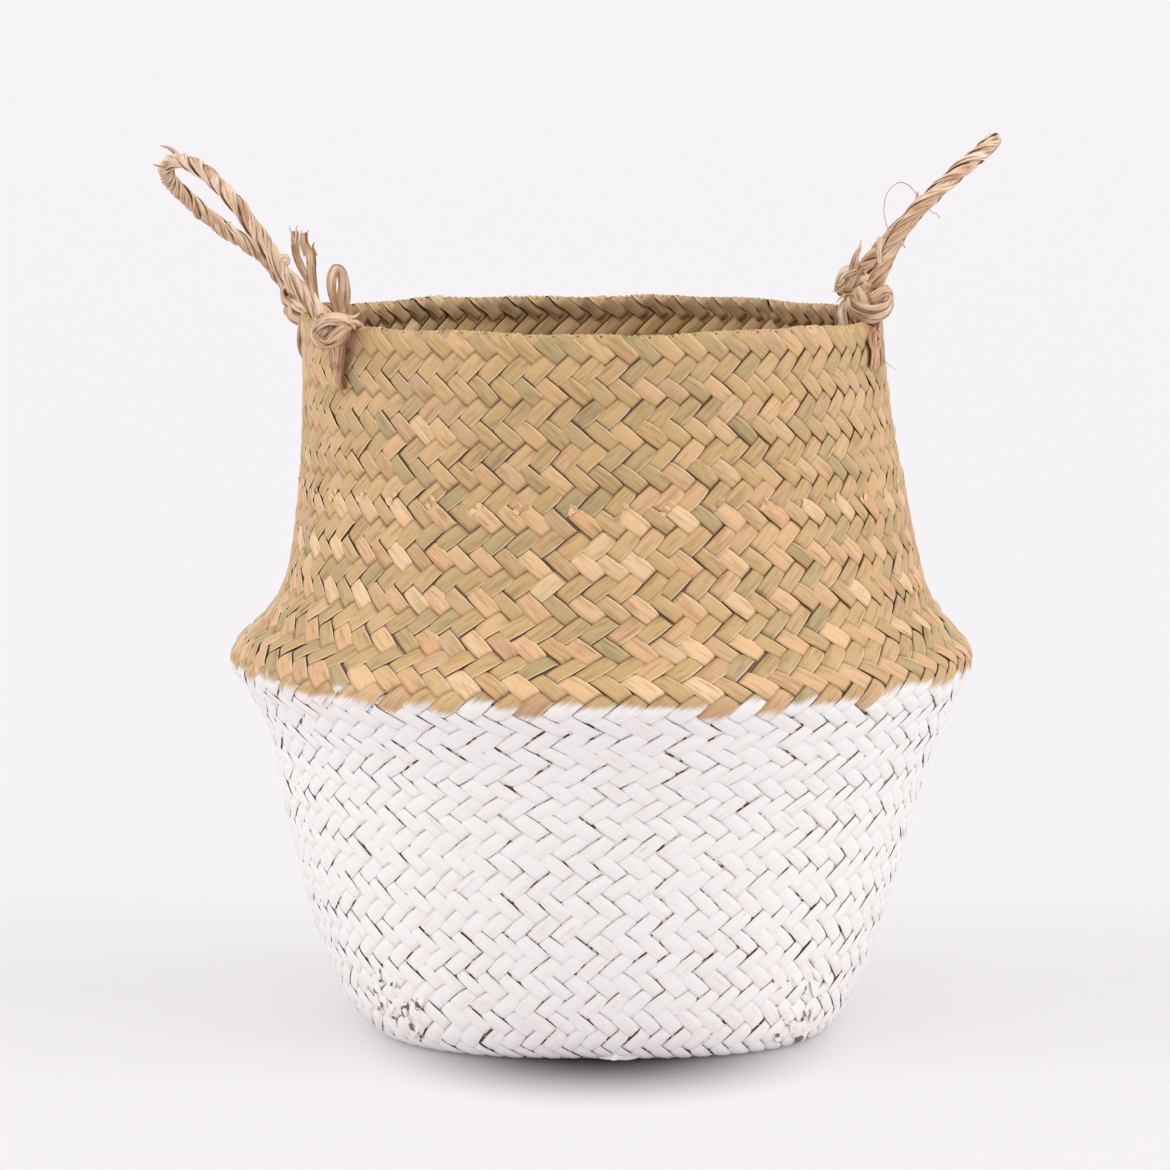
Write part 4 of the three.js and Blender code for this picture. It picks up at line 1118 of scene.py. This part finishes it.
# Loose ends: the body each rides with, then points in mm, half widths and thickness, and how
# pale and how brown it is
looseEnds = {
    "left_handle": [
        ([(-178, -22, 371), (-181.6, -26, 375.3), (-185.7, -31, 376.8)], (1.3, 1.0, 0.3), 0.4, 0.0, 0.3),
        ([(-183, -20, 366), (-186, -27, 367.7), (-188.8, -31, 368.8)], (1.0, 0.8, 0.3), 0.3, 0.7, 0.0),
        ([(-160.6, 31, 341.6), (-166.5, 30, 338.8), (-171.4, 27, 341.8)], (0.5, 0.5, 0.25), 0.25, 0.5, 0.0),
        ([(-131.8, -81.6, 330), (-132.6, -83, 332), (-131, -84, 333.5), (-129.2, -84, 332.4),
          (-129.2, -83.4, 330.4), (-130.8, -82, 329.6)], (0.6, 0.9, 0.7), 0.5, 0.0, 0.35),
        ([(-103.9, -85.5, 308.2), (-101.4, -86, 308.8), (-99.6, -86, 310.2)], (0.8, 0.6, 0.2), 0.3, 0.4, 0.0),
        ([(-104.2, -85.5, 307), (-101.6, -86, 306.6), (-99.8, -86, 305.4)], (0.8, 0.6, 0.2), 0.3, 0.3, 0.0),
        ([(-104.4, -85, 306.4), (-102.4, -85.5, 304.8), (-101.6, -85.5, 303.2)], (0.9, 0.6, 0.2),
         0.3, 0.5, 0.0),
    ],
    "right_handle": [
        ([(109.5, 43, 319), (111.2, 41.5, 326), (112.6, 40.5, 330), (113.2, 40, 333.4)],
         (2.2, 1.7, 1.1, 0.25), 0.5, 0.0, 0.2),
        ([(117.6, -39.5, 326), (116.4, -39.5, 333), (117.4, -39, 338.6)], (1.8, 1.9, 1.7), 1.0, 0.0, 0.2),
        ([(123.5, -38, 337.5), (126, -38, 336.2), (127.6, -38, 334.2)], (1.5, 1.0, 0.3), 0.5, 0.0, 0.1),
        ([(106, 41, 316), (103.6, 40, 313.4), (101.6, 39, 314.8)], (0.6, 0.45, 0.15), 0.3, 0.6, 0.3),
        ([(106, 41, 313), (103, 40, 310.8), (100.6, 39, 311.2)], (0.6, 0.45, 0.15), 0.3, 0.5, 0.4),
        ([(106.4, 41, 309.6), (103.8, 40, 307.6), (102.6, 39, 305.8)], (0.8, 0.6, 0.2), 0.3, 0.4, 0.3),
        ([(133.6, -35, 350.8), (132.7, -33, 353.9), (132.9, -31, 357.6)], (1.3, 0.9, 0.2), 0.4, 0.0, 0.7),
        ([(136.3, -33.5, 351.8), (139.1, -31, 348.8), (141.2, -30, 348.1), (142.5, -30, 346.3)],
         (0.3, 0.25, 0.2), 0.25, 0.0, 0.4),
        ([(123.2, -37.5, 338.9), (120.8, -35, 340.7), (118.8, -32, 348.9), (119.7, -30, 355.5),
          (122.2, -29, 359.3), (125.6, -29, 361.3), (128.5, -30, 360.6), (130.2, -31, 359.3),
          (133.4, -34, 355.3)], (0.2, 0.2, 0.2), 0.2, 0.0, 0.3),
    ],
    "neck": [
        ([(-128.6, 29, 327), (-130.2, 28.5, 331.6), (-131.6, 28, 333.8)], (0.8, 0.6, 0.2), 0.3, 0.3, 0.0),
        ([(-123.8, 29, 327), (-125, 28.5, 331), (-124.2, 28, 333)], (0.9, 0.6, 0.2), 0.3, 0.1, 0.2),
        ([(-133, 29, 332), (-134.2, 28.6, 337), (-135.2, 28.4, 339.8)], (0.9, 0.6, 0.2), 0.3, 0.0, 0.3),
        ([(-132.4, 29, 332), (-132.2, 28.6, 337.5), (-131.6, 28.4, 340.4)], (0.9, 0.6, 0.2), 0.3, 0.1, 0.1),
        ([(-128.8, 29, 331), (-129.6, 28.6, 336.4), (-130, 28.4, 338.6)], (0.9, 0.6, 0.2), 0.3, 0.0, 0.2),
        ([(-128.4, 29, 331), (-128, 28.6, 336), (-126.6, 28.4, 338.2)], (0.9, 0.6, 0.2), 0.3, 0.2, 0.1),
        ([(118.6, -36, 288), (120.4, -34, 285.4), (124.6, -32, 282.1)], (0.25, 0.2, 0.15), 0.2, 0.2, 0.2),
        ([(114.6, -42.5, 300), (117, -41.5, 296), (118, -40, 286), (116, -42, 282)],
         (0.6, 1.0, 0.9, 0.4), 0.4, 0.0, 0.6),
    ],
}


def makeLooseEnds(carrier, material, random):
    # Each is one flat strand through its points, whose wide side faces the front
    parts = [strandThrough(points, widths, thickness, 24, random, turns=0.2, pale=pale, tan=tan,
                           facing=np.mean(points, axis=0) + (0, 400, 30))
             for points, widths, thickness, pale, tan in looseEnds[carrier]]
    rings, values = joinRings(parts)
    ends = tubeMesh(f"{carrier}_loose_ends", rings, material, values, sharp=35)
    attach(ends, carrier)


# Floor and light

studio = {
    "floor": "e3e0e4",
    "shade": "2e2726",
    "shadeAt": (0.0, -0.066, 0.108, 0.135),  # middle and half widths of the shade before the foot, in m
    "shadeCore": 0.22,  # the share of those within which it is full
    "glow": 1.18,  # as bright as the lit floor
    "glowShare": 0.42,  # how much of the floor's look is glow, for paler shadows
    "sky": "f6f5f8",
    "world": 0.68,
    "lamps": {  # where each shines from, its softness in degrees and its strength
        "above": ((0.03, 0.05, 1.0), 70, 0.5),
        "leftPanel": ((-0.9, -0.25, 0.5), 60, 1.08),
        "rightPanel": ((0.9, -0.25, 0.5), 60, 1.2),
        "front": ((0.0, -0.9, 0.42), 40, 0.2),
    },
}


def makeStudio():
    world = bpy.data.worlds.new("studio")
    world.use_nodes = True
    bpy.context.scene.world = world
    tree = world.node_tree
    tree.nodes.clear()
    path = addNode(tree, "ShaderNodeLightPath")
    seen = addNode(tree, "ShaderNodeMath", {"operation": "MAXIMUM"}, {
        0: path.outputs["Is Camera Ray"], 1: path.outputs["Is Glossy Ray"]})
    light = addNode(tree, "ShaderNodeBackground", {}, {0: (1, 1, 1, 1), 1: studio["world"]})
    back = addNode(tree, "ShaderNodeBackground", {}, {0: linear(studio["sky"]), 1: 1.0})
    mix = addNode(tree, "ShaderNodeMixShader", {}, {
        0: seen.outputs[0], 1: light.outputs[0], 2: back.outputs[0]})
    addNode(tree, "ShaderNodeOutputWorld", {}, {0: mix.outputs[0]})
    for name, (place, softness, strength) in studio["lamps"].items():
        data = bpy.data.lights.new(name, "SUN")
        data.angle = math.radians(softness)
        data.energy = strength
        lamp = bpy.data.objects.new(name, data)
        lamp.location = Vector(place)
        lamp.rotation_euler = (-Vector(place)).to_track_quat("-Z", "Y").to_euler()
        bpy.context.collection.objects.link(lamp)
    # A matt white sweep. The soft shade before the foot is in the colour that the camera sees:
    # white walls throw so much light on the floor there that lamps alone leave hardly any. It
    # fades from full to none with the distance from its middle in half widths.
    material, tree = emptyMaterial("paleStudioFloor")
    x, y, halfX, halfY = studio["shadeAt"]
    place = addNode(tree, "ShaderNodeTexCoord")
    ellipse = addNode(tree, "ShaderNodeMapping", {}, {
        "Vector": place.outputs["Object"], "Location": (-x / halfX, -y / halfY, 0),
        "Scale": (1 / halfX, 1 / halfY, 1)})
    distance = addNode(tree, "ShaderNodeVectorMath", {"operation": "LENGTH"}, {0: ellipse.outputs[0]})
    clear = addNode(tree, "ShaderNodeMapRange", {"interpolation_type": "SMOOTHSTEP"}, {
        0: distance.outputs["Value"], 1: studio["shadeCore"], 2: 1.0, 3: 0.0, 4: 1.0})
    path = addNode(tree, "ShaderNodeLightPath")
    unseen = addNode(tree, "ShaderNodeMath", {"operation": "SUBTRACT"}, {
        0: 1.0, 1: path.outputs["Is Camera Ray"]})
    bright = addNode(tree, "ShaderNodeMath", {"operation": "MAXIMUM"}, {
        0: clear.outputs[0], 1: unseen.outputs[0]})
    colour = addNode(tree, "ShaderNodeMix", {"data_type": "RGBA"}, {
        0: bright.outputs[0], 6: linear(studio["shade"]), 7: linear(studio["floor"])})
    matt = addNode(tree, "ShaderNodeBsdfPrincipled", {}, {"Base Color": colour.outputs[2], "Roughness": 0.9})
    glow = addNode(tree, "ShaderNodeEmission", {}, {0: colour.outputs[2], 1: studio["glow"]})
    share = addNode(tree, "ShaderNodeMath", {"operation": "MULTIPLY"}, {
        0: path.outputs["Is Camera Ray"], 1: studio["glowShare"]})
    shader = addNode(tree, "ShaderNodeMixShader", {}, {
        0: share.outputs[0], 1: matt.outputs[0], 2: glow.outputs[0]})
    addNode(tree, "ShaderNodeOutputMaterial", {}, {0: shader.outputs[0]})
    mesh = bpy.data.meshes.new("studioFloor")
    mesh.from_pydata([(-60, -20, 0), (60, -20, 0), (60, 160, 0), (-60, 160, 0)], [], [(0, 1, 2, 3)])
    mesh.materials.append(material)
    floor = bpy.data.objects.new("studioFloor", mesh)
    bpy.context.collection.objects.link(floor)


# Making

bpy.context.scene.view_settings.view_transform = "Standard"
makeCamera()
random = np.random.default_rng(11)
grass = bladeMaterial()
placeBlades(True, grass, random)
placeBlades(False, grass, random)
makeShadeSheet(grass)
makeMat(grass, random)
makeDetails(grass, random)
print("blades plaited")
cord = cordMaterial()
tails = {("left", 0): lashing["bow"], ("left", 1): lashing["eyelet"]}
for side in ("left", "right"):
    makeRope(side, cord, random)
    for end in (0, 1):
        makeKnot(side, end, cord, random)
        makeLashing(side, end, cord, random, tails.get((side, end)))
for carrier in looseEnds:
    makeLooseEnds(carrier, cord, random)
print("handles tied on")
makeStudio()
print("studio set")
